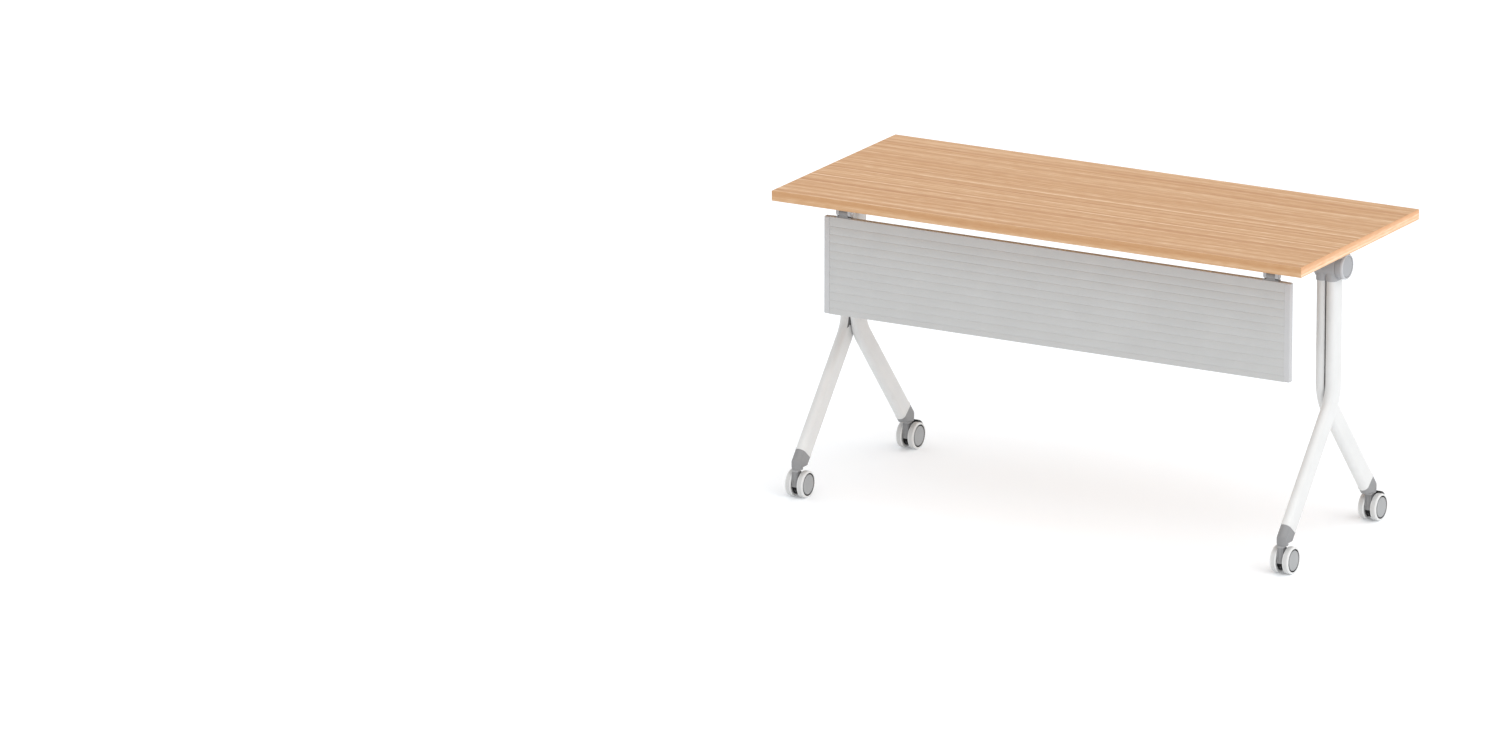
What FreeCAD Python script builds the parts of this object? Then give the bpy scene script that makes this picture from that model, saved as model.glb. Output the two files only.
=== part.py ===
"""Flip-top desk on casters: a board that tips about the leg heads, forked legs and a hanging front panel.

Frame: +X along the board, -Y towards the front panel, +Z up, origin on the floor under the board's middle.
"""
import FreeCAD
import Part
import Sketcher
import math
import os
import re

# Driving dimensions in millimetres and degrees
SIZES = {
    # Board
    "top_length": 1400.0,
    "top_depth": 600.0,
    "top_height": 750.0,
    "top_thickness": 25.0,
    "band_thickness": 2.0,
    "band_round": 1.5,
    # Clearances
    "run_clearance": 0.05,
    "fit_clearance": 0.1,
    "rest_gap": 0.3,
    # Flip axis
    "pivot_forward": 24.0,
    "pivot_drop": 41.0,
    "shaft_diameter": 16.0,
    "shaft_length": 52.0,
    "bush_wall": 2.0,
    "bush_length": 40.0,
    # Leg tubes
    "leg_inset": 55.0,
    "tube_thick": 25.0,
    "tube_depth": 52.0,
    "tube_wall": 2.0,
    "tube_top_below": 18.0,
    "tube_end_height": 104.0,
    "knee_height": 366.0,
    "lean": 40.0,
    "bend_radius": 110.0,
    # Leg heads
    "drum_radius": 31.0,
    "head_wall": 2.0,
    "collar_drop": 34.0,
    "stop_width": 26.0,
    "stop_depth": 18.0,
    "stop_forward": 9.0,
    "stop_inset": 14.0,
    # Crossbeam
    "beam_diameter": 38.0,
    "beam_wall": 2.5,
    "spigot_length": 30.0,
    # Top brackets
    "ear_gap": 0.5,
    "ear_thick": 14.0,
    "ear_step": 0.5,
    "ear_neck": 40.0,
    "plate_thick": 6.0,
    "plate_length": 112.0,
    "plate_depth": 120.0,
    "cap_thick": 6.0,
    "cap_bevel": 3.0,
    "cap_dish_radius": 25.0,
    "cap_dish_depth": 1.6,
    # Locks
    "lock_radius": 26.0,
    "lock_angle": 60.0,
    "flip_angle": 90.0,
    "lock_hole_depth": 10.0,
    "lock_pin_diameter": 6.0,
    "lock_pin_length": 38.0,
    "lock_parking_gap": 1.0,
    "lug_wall": 2.0,
    "lug_gap": 6.0,
    "lug_length": 14.0,
    "knob_diameter": 12.0,
    "knob_length": 16.0,
    "knob_grip": 8.0,
    # Front panel
    "panel_end_inset": 82.0,
    "panel_height": 238.0,
    "panel_thick": 15.0,
    "panel_wall": 2.0,
    "panel_drop": 50.0,
    "panel_setback": 106.0,
    "panel_cap_width": 15.0,
    "panel_cap_round": 3.0,
    "panel_plug_length": 25.0,
    "groove_first": 23.0,
    "groove_pitch": 20.0,
    "groove_width": 2.0,
    "groove_depth": 0.5,
    # Panel hangers
    "hanger_inset": 52.0,
    "hanger_width": 39.0,
    "hanger_cheek": 8.0,
    "hanger_flange_depth": 60.0,
    "hanger_flange_thick": 4.0,
    "hinge_rise": 12.0,
    "hinge_eye_radius": 8.0,
    "hinge_eye_gap": 5.0,
    "hinge_pin_diameter": 5.0,
    "clip_base_thick": 3.0,
    "clip_base_depth": 13.0,
    # Wood screws
    "screw_shank": 4.0,
    "screw_head": 9.0,
    "screw_head_height": 2.5,
    "screw_bite": 16.0,
    "screw_inset": 10.0,
    # Leg sockets
    "socket_run": 75.0,
    "socket_base_height": 75.0,
    "socket_front_radius": 14.0,
    "socket_plug_length": 40.0,
    "neck_radius": 13.5,
    "neck_overlap": 4.0,
    # Casters
    "stem_ahead": 28.16,
    "stem_diameter": 11.0,
    "stem_in_body": 20.0,
    "stem_in_socket": 28.0,
    "trail": 12.0,
    "swivel_gap": 0.3,
    "wheel_diameter": 65.0,
    "wheel_width": 15.0,
    "wheel_spacing": 17.0,
    "wheel_edge": 3.0,
    "rim_thick": 6.0,
    "web_inset": 2.5,
    "web_thick": 4.0,
    "hub_radius": 9.0,
    "hub_recess": 3.5,
    "axle_diameter": 8.0,
    "axle_short": 3.5,
    "body_width": 15.0,
    "body_radius": 27.0,
    "body_lead": 13.5,
    "body_rise": 5.0,
    "column_radius": 7.2,
    "hubcap_gap": 1.6,
    "hubcap_thick": 3.5,
    "hubcap_bevel": 1.5,
    "hubcap_proud": 1.0,
    "hubcap_boss_radius": 8.0,
    # Brake pedals
    "hood_gap": 1.5,
    "hood_thick": 4.0,
    "hood_width": 34.0,
    "hood_span": 55.0,
    "hood_angle": 52.5,
    "brake_travel": 12.0,
    "arm_thick": 6.0,
    "arm_width": 10.0,
    "arm_ring_wall": 5.0,
    "arm_slot_clearance": 0.2,
}
GROOVE_COUNT = 11

# Places that several sub-parts share, as expressions of the driving dimensions
UNDERSIDE = "(top_height - top_thickness)"
AXIS_Y = "(0 - pivot_forward)"
AXIS_Z = "(top_height - top_thickness - pivot_drop)"
OUTER_TUBE_X = "(top_length / 2 - leg_inset)"
INNER_TUBE_X = f"({OUTER_TUBE_X} - tube_thick)"
TUBE_TOP = f"({AXIS_Z} - tube_top_below)"
COLLAR_BASE = f"({AXIS_Z} - collar_drop)"
HEAD_IN = f"({OUTER_TUBE_X} - 1.5 * tube_thick - head_wall)"
HEAD_OUT = f"({OUTER_TUBE_X} + tube_thick / 2 + head_wall)"
STOP_IN = f"({HEAD_IN} + stop_inset)"
STOP_FRONT = f"({AXIS_Y} - stop_forward - stop_depth)"
EAR_IN = f"({HEAD_OUT} + ear_gap)"
EAR_OUT = f"({EAR_IN} + ear_thick)"
EAR_RADIUS = "(drum_radius - ear_step)"
PLATE_BASE = f"({UNDERSIDE} - plate_thick)"
PLATE_IN = f"({EAR_OUT} - plate_length)"
LOCK_Y = f"({AXIS_Y} + lock_radius * cos(lock_angle))"
LOCK_Z = f"({AXIS_Z} + lock_radius * sin(lock_angle))"
LUG_OUT = f"({HEAD_IN} - lug_gap)"
LUG_RADIUS = "(lock_pin_diameter / 2 + lug_wall)"
LOCK_PIN_IN = f"({HEAD_IN} - lock_parking_gap - lock_pin_length)"
PANEL_FRONT = "(panel_setback - top_depth / 2)"
PANEL_MIDDLE = f"({PANEL_FRONT} + panel_thick / 2)"
PANEL_TOP = f"({UNDERSIDE} - panel_drop)"
PANEL_BASE = f"({PANEL_TOP} - panel_height)"
PANEL_END = "(top_length / 2 - panel_end_inset)"
SHEET_END = f"({PANEL_END} - panel_cap_width)"
HANGER_X = f"({PANEL_END} - hanger_inset)"
HINGE_Z = f"({PANEL_TOP} + hinge_rise)"
FLANGE_BASE = f"({UNDERSIDE} - hanger_flange_thick)"
WHEEL_RADIUS = "(wheel_diameter / 2)"
BODY_TOP = "(wheel_diameter + body_rise)"
NECK_BASE = f"({BODY_TOP} + swivel_gap)"
STEM_BASE = f"({BODY_TOP} - stem_in_body)"
STEM_LENGTH = "(stem_in_body + swivel_gap + stem_in_socket)"
RIM_RADIUS = f"({WHEEL_RADIUS} - rim_thick)"
WHEEL_IN = "(wheel_spacing / 2)"
WHEEL_OUT = "(wheel_spacing / 2 + wheel_width)"
AXLE_HALF = f"({WHEEL_OUT} - axle_short)"
HOOD_INNER = f"({WHEEL_RADIUS} + hood_gap)"

ALIAS = re.compile(r"[a-z][a-z0-9_]*")
X_AXIS = FreeCAD.Vector(1, 0, 0)
Y_AXIS = FreeCAD.Vector(0, 1, 0)
Z_AXIS = FreeCAD.Vector(0, 0, 1)
ALONG_X = FreeCAD.Rotation(Y_AXIS, 90)
# Reach of a solid that only bounds another, and how far a cutting tool runs past the face it cuts
FAR = "400"
OVER = "1"

doc = FreeCAD.newDocument("FlipTopDesk")
nodes = []


# Document helpers

def make_sheet():
    """The spreadsheet that holds every driving dimension under its own alias."""
    sheet = doc.addObject("Spreadsheet::Sheet", "Sizes")
    for row, (alias, value) in enumerate(SIZES.items(), start=1):
        sheet.set(f"A{row}", alias)
        sheet.set(f"B{row}", str(value))
        sheet.setAlias(f"B{row}", alias)
    doc.recompute()


def ex(text):
    """An expression with each size's alias pointed at the sheet."""
    return ALIAS.sub(lambda hit: f"Sizes.{hit.group()}" if hit.group() in SIZES else hit.group(), text)


def bind(thing, **sizes):
    for name, text in sizes.items():
        thing.setExpression(name, ex(text))
    return thing


def place(thing, x="0", y="0", z="0"):
    thing.setExpression("Placement.Base.x", ex(x))
    thing.setExpression("Placement.Base.y", ex(y))
    thing.setExpression("Placement.Base.z", ex(z))
    return thing


def box(name, low, size):
    thing = doc.addObject("Part::Box", name)
    bind(thing, Length=size[0], Width=size[1], Height=size[2])
    return place(thing, *low)


def rod_x(name, start, radius, length):
    thing = doc.addObject("Part::Cylinder", name)
    thing.Placement = FreeCAD.Placement(FreeCAD.Vector(), ALONG_X)
    bind(thing, Radius=radius, Height=length)
    return place(thing, *start)


def rod_z(name, start, radius, length):
    thing = doc.addObject("Part::Cylinder", name)
    bind(thing, Radius=radius, Height=length)
    return place(thing, *start)


def cone_x(name, start, radius, end_radius, length):
    thing = doc.addObject("Part::Cone", name)
    thing.Placement = FreeCAD.Placement(FreeCAD.Vector(), ALONG_X)
    bind(thing, Radius1=radius, Radius2=end_radius, Height=length)
    return place(thing, *start)


def sector_x(name, start, radius, length, first_angle, span):
    """A slice of a disc about X that runs from first_angle through span, counted from +Y towards +Z."""
    thing = doc.addObject("Part::Cylinder", name)
    turn = FreeCAD.Rotation(X_AXIS, first_angle + 90.0)
    thing.Placement = FreeCAD.Placement(FreeCAD.Vector(), turn.multiply(ALONG_X))
    bind(thing, Radius=radius, Height=length, Angle=span)
    return place(thing, *start)


def fuse(name, *pieces):
    thing = doc.addObject("Part::MultiFuse", name)
    thing.Shapes = list(pieces)
    thing.Refine = True
    return thing


def cut(name, base, *tools):
    thing = doc.addObject("Part::Cut", name)
    thing.Base = base
    thing.Tool = tools[0] if len(tools) == 1 else fuse(f"{name}_tools", *tools)
    thing.Refine = True
    return thing


def common(name, *pieces):
    thing = doc.addObject("Part::MultiCommon", name)
    thing.Shapes = list(pieces)
    thing.Refine = True
    return thing


def compound(name, pieces):
    thing = doc.addObject("Part::Compound", name)
    thing.Links = list(pieces)
    return thing


def mirror(name, source):
    """The same piece on the other end of the desk."""
    thing = doc.addObject("Part::Mirroring", name)
    thing.Source = source
    thing.Base = FreeCAD.Vector()
    thing.Normal = X_AXIS
    return thing


def oval(name, start, thick, depth, height):
    """An upright flat-oval column, thick along X and deep along Y, centred on start."""
    x, y, z = start
    straight = f"({depth} - {thick}) / 2"
    core_low = (f"{x} - {thick} / 2", f"{y} - {straight}", z)
    core = box(f"{name}_core", core_low, (thick, f"2 * {straight}", height))
    front = rod_z(f"{name}_front", (x, f"{y} - {straight}", z), f"{thick} / 2", height)
    back = rod_z(f"{name}_back", (x, f"{y} + {straight}", z), f"{thick} / 2", height)
    return fuse(name, core, front, back)


def node(label, thing):
    """Marks a finished sub-part, whose label names its file."""
    thing.Label = label
    nodes.append(thing)
    return thing


# Sketch helpers

def sketch_on(body, role, name):
    plane = [feature for feature in body.Origin.OriginFeatures if feature.Role == role][0]
    sketch = body.newObject("Sketcher::SketchObject", name)
    sketch.AttachmentSupport = [(plane, "")]
    sketch.MapMode = "FlatFace"
    return sketch


def dimension(sketch, kind, where, start_value, name, text):
    index = sketch.addConstraint(Sketcher.Constraint(kind, *where, start_value))
    sketch.renameConstraint(index, name)
    sketch.setExpression(f"Constraints.{name}", ex(text))


def oval_loop(sketch, name, radius, straight, radius_text, straight_text):
    """A closed flat-oval loop about the sketch's origin, long along its vertical axis."""
    first = sketch.GeometryCount
    corner = FreeCAD.Vector(radius, straight, 0)
    across = FreeCAD.Vector(-radius, straight, 0)
    upper = Part.Circle(FreeCAD.Vector(0, straight, 0), Z_AXIS, radius)
    lower = Part.Circle(FreeCAD.Vector(0, -straight, 0), Z_AXIS, radius)
    sketch.addGeometry(Part.LineSegment(across.negative(), corner))
    sketch.addGeometry(Part.ArcOfCircle(upper, 0, math.pi))
    sketch.addGeometry(Part.LineSegment(across, corner.negative()))
    sketch.addGeometry(Part.ArcOfCircle(lower, math.pi, 2 * math.pi))
    for step in range(4):
        following = first + (step + 1) % 4
        sketch.addConstraint(Sketcher.Constraint("Tangent", first + step, 2, following, 1))
    sketch.addConstraint(Sketcher.Constraint("Vertical", first))
    sketch.addConstraint(Sketcher.Constraint("Symmetric", first + 1, 3, first + 3, 3, -1, 1))
    dimension(sketch, "Radius", (first + 1,), radius, f"{name}_radius", radius_text)
    dimension(sketch, "DistanceY", (-1, 1, first + 1, 3), straight, f"{name}_straight", straight_text)


def corner_loop(sketch, corners):
    """A closed loop of straight lines whose corners are given as expressions."""
    count = len(corners)
    for step in range(count):
        start = FreeCAD.Vector(step + 1, (step + 1) ** 2, 0)
        end = FreeCAD.Vector((step + 1) % count + 1, ((step + 1) % count + 1) ** 2, 0)
        sketch.addGeometry(Part.LineSegment(start, end))
    for step in range(count):
        sketch.addConstraint(Sketcher.Constraint("Coincident", step, 2, (step + 1) % count, 1))
    for step, (across, up) in enumerate(corners):
        dimension(sketch, "DistanceX", (step, 1), float(step + 1), f"across_{step}", across)
        dimension(sketch, "DistanceY", (step, 1), float(step + 1) ** 2, f"up_{step}", up)


# Board and its screws

def bracket_screw_spots(side):
    near = f"{side} * ({PLATE_IN} + screw_inset)"
    far = f"{side} * ({EAR_OUT} - screw_inset)"
    front = f"{AXIS_Y} - plate_depth / 2 + screw_inset"
    back = f"{AXIS_Y} + plate_depth / 2 - screw_inset"
    return [(x, y) for x in (near, far) for y in (front, back)]


def hanger_screw_spots(side):
    reach = "(hanger_flange_depth / 2 - screw_inset)"
    return [(f"{side} * {HANGER_X}", f"{PANEL_MIDDLE} {way} {reach}") for way in "-+"]


def make_screws(label, spots, seat):
    """Pan-head screws that come up through a plate, whose underside is the seat, into the board."""
    screws = []
    for step, (x, y) in enumerate(spots):
        head = rod_z(f"{label}_head_{step}", (x, y, f"{seat} - screw_head_height"),
                     "screw_head / 2", "screw_head_height")
        shank = rod_z(f"{label}_shank_{step}", (x, y, seat),
                      "screw_shank / 2", f"{UNDERSIDE} + screw_bite - {seat}")
        screws.append(fuse(f"{label}_{step}", head, shank))
    node(label, compound(f"{label}_group", screws))


def screw_holes(name, spots, base, length):
    radius = "screw_shank / 2 + fit_clearance"
    return [rod_z(f"{name}_hole_{step}", (x, y, base), radius, length) for step, (x, y) in enumerate(spots)]


def make_board():
    length = "top_length - 2 * band_thickness"
    depth = "top_depth - 2 * band_thickness"
    low = ("band_thickness - top_length / 2", "band_thickness - top_depth / 2", UNDERSIDE)
    slab = box("board_slab", low, (length, depth, "top_thickness"))
    spots = []
    for side in (1, -1):
        spots += bracket_screw_spots(side) + hanger_screw_spots(side)
    holes = screw_holes("board", spots, UNDERSIDE, "screw_bite + rest_gap")
    node("tabletop_board", cut("board", slab, *holes))

    outer = box("band_outer", ("-top_length / 2", "-top_depth / 2", UNDERSIDE),
                ("top_length", "top_depth", "top_thickness"))
    rounded = doc.addObject("Part::Fillet", "band_rounded")
    rounded.Base = outer
    radius = min(SIZES["band_round"], 0.9 * SIZES["band_thickness"])
    doc.recompute()
    rounded.Edges = [(number, radius, radius) for number in range(1, len(outer.Shape.Edges) + 1)]
    inside = box("band_inside", low[:2] + (f"{UNDERSIDE} - {OVER}",),
                 (length, depth, f"top_thickness + 2 * {OVER}"))
    node("edge_band", cut("band", rounded, inside))


# Leg frame

def make_tube(label, way, side, middle):
    """A hollow flat-oval tube: an upright post, a bend and a leaning foot; way -1 leans to the front."""
    post_y = -SIZES["pivot_forward"]
    lean = math.radians(SIZES["lean"])
    radius = SIZES["bend_radius"]
    top_z = SIZES["top_height"] - SIZES["top_thickness"] - SIZES["pivot_drop"] - SIZES["tube_top_below"]
    bend_z = SIZES["knee_height"] + radius * math.tan(lean / 2)
    end_z = SIZES["tube_end_height"]
    end_y = post_y + way * (SIZES["knee_height"] - end_z) * math.tan(lean)
    centre = FreeCAD.Vector(post_y + way * radius, bend_z, 0)
    bend = Part.Circle(centre, Z_AXIS, radius)
    first_angle, last_angle, top_end = (-lean, 0.0, 2) if way < 0 else (math.pi, math.pi + lean, 1)
    low_angle = first_angle if way < 0 else last_angle
    foot_start = centre + FreeCAD.Vector(math.cos(low_angle), math.sin(low_angle), 0) * radius

    body = doc.addObject("PartDesign::Body", f"{label}_body")
    path = sketch_on(body, "YZ_Plane", f"{label}_path")
    path.addGeometry(Part.LineSegment(FreeCAD.Vector(post_y, top_z, 0), FreeCAD.Vector(post_y, bend_z, 0)))
    path.addGeometry(Part.ArcOfCircle(bend, first_angle, last_angle))
    path.addGeometry(Part.LineSegment(foot_start, FreeCAD.Vector(end_y, end_z, 0)))
    path.addConstraint(Sketcher.Constraint("Vertical", 0))
    path.addConstraint(Sketcher.Constraint("Tangent", 0, 2, 1, top_end))
    path.addConstraint(Sketcher.Constraint("Tangent", 1, 3 - top_end, 2, 1))
    dimension(path, "DistanceX", (0, 1), post_y, "post_y", AXIS_Y)
    dimension(path, "DistanceY", (0, 1), top_z, "top_z", TUBE_TOP)
    dimension(path, "DistanceY", (0, 2), bend_z, "bend_z", "knee_height + bend_radius * tan(lean / 2)")
    dimension(path, "Radius", (1,), radius, "bend", "bend_radius")
    dimension(path, "DistanceX", (2, 2), end_y, "end_y", tube_end_y(way))
    dimension(path, "DistanceY", (2, 2), end_z, "end_z", "tube_end_height")

    section = sketch_on(body, "XY_Plane", f"{label}_section")
    section.setExpression("AttachmentOffset.Base.y", ex(AXIS_Y))
    section.setExpression("AttachmentOffset.Base.z", ex(TUBE_TOP))
    half = SIZES["tube_thick"] / 2
    straight = SIZES["tube_depth"] / 2 - half
    straight_text = "(tube_depth - tube_thick) / 2"
    oval_loop(section, "outer", half, straight, "tube_thick / 2", straight_text)
    oval_loop(section, "inner", half - SIZES["tube_wall"], straight,
              "tube_thick / 2 - tube_wall", straight_text)
    doc.recompute()
    pipe = body.newObject("PartDesign::AdditivePipe", f"{label}_pipe")
    pipe.Profile = section
    pipe.Spine = (path, ["Edge1", "Edge2", "Edge3"])
    body.Tip = pipe
    node(label, place(body, x=f"{side} * {middle}"))


def tube_end_y(way):
    return f"({AXIS_Y} + {way} * (knee_height - tube_end_height) * tan(lean))"


def stem_y(way):
    return f"({tube_end_y(way)} + {way} * stem_ahead)"


def make_head():
    """The casting that caps both tubes and carries the flip shaft, the beam and the lock holes."""
    width = f"{HEAD_OUT} - {HEAD_IN}"
    solids = [rod_x("head_drum", (HEAD_IN, AXIS_Y, AXIS_Z), "drum_radius", width)]
    holes = []
    for name, middle in (("outer", OUTER_TUBE_X), ("inner", INNER_TUBE_X)):
        solids.append(oval(f"head_collar_{name}", (middle, AXIS_Y, COLLAR_BASE),
                           "(tube_thick + 2 * head_wall)", "(tube_depth + 2 * head_wall)", "collar_drop"))
        holes.append(oval(f"head_socket_{name}", (middle, AXIS_Y, f"{COLLAR_BASE} - {OVER}"),
                          "(tube_thick + 2 * fit_clearance)", "(tube_depth + 2 * fit_clearance)",
                          f"{TUBE_TOP} - {COLLAR_BASE} + {OVER}"))
    solids.append(box("head_stop", (STOP_IN, STOP_FRONT, AXIS_Z),
                      ("stop_width", "stop_depth", "drum_radius")))
    solids.append(rod_x("head_spigot", (f"{HEAD_IN} - spigot_length", AXIS_Y, AXIS_Z),
                        "beam_diameter / 2 - beam_wall - fit_clearance", f"spigot_length + {OVER}"))
    holes.append(rod_x("head_bush_bore", (f"{HEAD_OUT} - bush_length", AXIS_Y, AXIS_Z),
                       "shaft_diameter / 2 + run_clearance + bush_wall", f"bush_length + {OVER}"))
    for step, angle in enumerate(("lock_angle", "(lock_angle - flip_angle)")):
        y = f"{AXIS_Y} + lock_radius * cos({angle})"
        z = f"{AXIS_Z} + lock_radius * sin({angle})"
        holes.append(rod_x(f"head_lock_hole_{step}", (f"{HEAD_IN} - {OVER}", y, z),
                           "lock_pin_diameter / 2 + run_clearance", f"lock_hole_depth + {OVER}"))
    right = node("pivot_head_right", cut("head", fuse("head_solid", *solids), *holes))
    node("pivot_head_left", mirror("head_mirror", right))


def make_head_fittings():
    bush_start = (f"{HEAD_OUT} - bush_length", AXIS_Y, AXIS_Z)
    outer = rod_x("bush_outer", bush_start, "shaft_diameter / 2 + run_clearance + bush_wall", "bush_length")
    bore = rod_x("bush_bore", bush_start, "shaft_diameter / 2 + run_clearance", "bush_length")
    bush = cut("bush", outer, bore)
    node("pivot_bushes", compound("bush_pair", [bush, mirror("bush_mirror", bush)]))

    buffer_height = "pivot_drop - plate_thick - drum_radius - rest_gap"
    buffer = box("buffer", (STOP_IN, STOP_FRONT, f"{AXIS_Z} + drum_radius"),
                 ("stop_width", "stop_depth", buffer_height))
    node("stop_buffers", compound("buffer_pair", [buffer, mirror("buffer_mirror", buffer)]))

    start = (f"-1 * {HEAD_IN}", AXIS_Y, AXIS_Z)
    outside = rod_x("beam_outside", start, "beam_diameter / 2", f"2 * {HEAD_IN}")
    inside = rod_x("beam_inside", start, "beam_diameter / 2 - beam_wall", f"2 * {HEAD_IN}")
    node("crossbeam", cut("beam", outside, inside))


def make_socket(label, way, side, middle):
    """The plastic foot of a tube: a plug, a flush oval shoe cut level below, and the round caster neck."""
    name = f"{label}_shape"
    x = f"{side} * {middle}"
    shoe = oval(f"{name}_shoe", ("0", "0", "0 - socket_run"), "tube_thick", "tube_depth", "socket_run")
    plug_gap = "2 * (tube_wall + fit_clearance)"
    plug = oval(f"{name}_plug", ("0", "0", f"0 - {OVER}"), f"(tube_thick - {plug_gap})",
                f"(tube_depth - {plug_gap})", f"socket_plug_length + {OVER}")
    for piece in (shoe, plug):
        piece.Placement = FreeCAD.Placement(FreeCAD.Vector(), FreeCAD.Rotation(X_AXIS, 1))
        piece.setExpression("Placement.Rotation.Angle", ex(f"{way} * lean"))
        place(piece, x, tube_end_y(way), "tube_end_height")
    front = rod_z(f"{name}_front", (x, stem_y(way), "socket_base_height"), "socket_front_radius", FAR)
    inward = stem_y(way) if way < 0 else f"{stem_y(way)} - {FAR}"
    column = box(f"{name}_column", (f"{x} - socket_front_radius", inward, "socket_base_height"),
                 ("2 * socket_front_radius", FAR, FAR))
    trimmed = common(f"{name}_trimmed", shoe, fuse(f"{name}_bounds", front, column))
    neck = rod_z(f"{name}_neck", (x, stem_y(way), NECK_BASE), "neck_radius",
                 f"socket_base_height + neck_overlap - {NECK_BASE}")
    bore = rod_z(f"{name}_bore", (x, stem_y(way), f"{NECK_BASE} - {OVER}"),
                 "stem_diameter / 2 + fit_clearance", f"stem_in_socket + {OVER}")
    node(label, cut(name, fuse(f"{name}_whole", trimmed, plug, neck), bore))


def make_stems():
    stems = []
    for way, side, middle, tag in CORNERS:
        stems.append(rod_z(f"stem_{tag}", (f"{side} * {middle}", stem_y(way), STEM_BASE),
                           "stem_diameter / 2", STEM_LENGTH))
    node("caster_stems", compound("stem_group", stems))


# Top brackets, shafts, caps and locks

def make_brackets():
    plate = box("bracket_plate", (PLATE_IN, f"{AXIS_Y} - plate_depth / 2", PLATE_BASE),
                ("plate_length", "plate_depth", "plate_thick"))
    ear = rod_x("bracket_ear", (EAR_IN, AXIS_Y, AXIS_Z), EAR_RADIUS, "ear_thick")
    neck = box("bracket_neck", (EAR_IN, f"{AXIS_Y} - ear_neck / 2", AXIS_Z),
               ("ear_thick", "ear_neck", "pivot_drop"))
    lug_in = f"({LUG_OUT} - lug_length)"
    lug_eye = rod_x("bracket_lug_eye", (lug_in, LOCK_Y, LOCK_Z), LUG_RADIUS, "lug_length")
    lug = box("bracket_lug", (lug_in, f"{LOCK_Y} - {LUG_RADIUS}", LOCK_Z),
              ("lug_length", f"2 * {LUG_RADIUS}", f"{PLATE_BASE} + {OVER} - {LOCK_Z}"))
    shaft_bore = rod_x("bracket_shaft_bore", (f"{EAR_IN} - {OVER}", AXIS_Y, AXIS_Z),
                       "shaft_diameter / 2 + run_clearance", f"ear_thick + 2 * {OVER}")
    lock_bore = rod_x("bracket_lock_bore", (f"{lug_in} - {OVER}", LOCK_Y, LOCK_Z),
                      "lock_pin_diameter / 2 + run_clearance", f"lug_length + 2 * {OVER}")
    holes = screw_holes("bracket", bracket_screw_spots(1), f"{PLATE_BASE} - {OVER}",
                        f"plate_thick + 2 * {OVER}")
    whole = fuse("bracket_whole", plate, ear, neck, lug_eye, lug)
    right = node("top_bracket_right", cut("bracket", whole, shaft_bore, lock_bore, *holes))
    node("top_bracket_left", mirror("bracket_mirror", right))
    make_screws("bracket_screws", bracket_screw_spots(1) + bracket_screw_spots(-1), PLATE_BASE)

    shaft = rod_x("shaft", (f"{EAR_OUT} - shaft_length", AXIS_Y, AXIS_Z),
                  "shaft_diameter / 2", "shaft_length")
    node("pivot_shafts", compound("shaft_pair", [shaft, mirror("shaft_mirror", shaft)]))

    rim = rod_x("cap_rim", (EAR_OUT, AXIS_Y, AXIS_Z), EAR_RADIUS, "cap_thick - cap_bevel")
    bevel = cone_x("cap_bevel_ring", (f"{EAR_OUT} + cap_thick - cap_bevel", AXIS_Y, AXIS_Z), EAR_RADIUS,
                   f"{EAR_RADIUS} - cap_bevel", "cap_bevel")
    dish = rod_x("cap_dish", (f"{EAR_OUT} + cap_thick - cap_dish_depth", AXIS_Y, AXIS_Z),
                 "cap_dish_radius", f"cap_dish_depth + {OVER}")
    cap = cut("cap", fuse("cap_whole", rim, bevel), dish)
    node("ear_caps", compound("cap_pair", [cap, mirror("cap_mirror", cap)]))


def make_locks():
    """Parking plungers: a steel pin in the bracket's lug and a knob on its inner end, shown drawn back."""
    rod = rod_x("lock_pin", (LOCK_PIN_IN, LOCK_Y, LOCK_Z), "lock_pin_diameter / 2", "lock_pin_length")
    pin = node("lock_pin_right", rod)
    node("lock_pin_left", mirror("lock_pin_mirror", pin))
    grip = rod_x("knob_grip_rod", (f"{LOCK_PIN_IN} + knob_grip - knob_length", LOCK_Y, LOCK_Z),
                 "knob_diameter / 2", "knob_length")
    socket = rod_x("knob_socket", (LOCK_PIN_IN, LOCK_Y, LOCK_Z),
                   "lock_pin_diameter / 2 + run_clearance", f"knob_grip + {OVER}")
    knob = node("lock_knob_right", cut("knob", grip, socket))
    node("lock_knob_left", mirror("knob_mirror", knob))


# Front panel and its hangers

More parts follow.
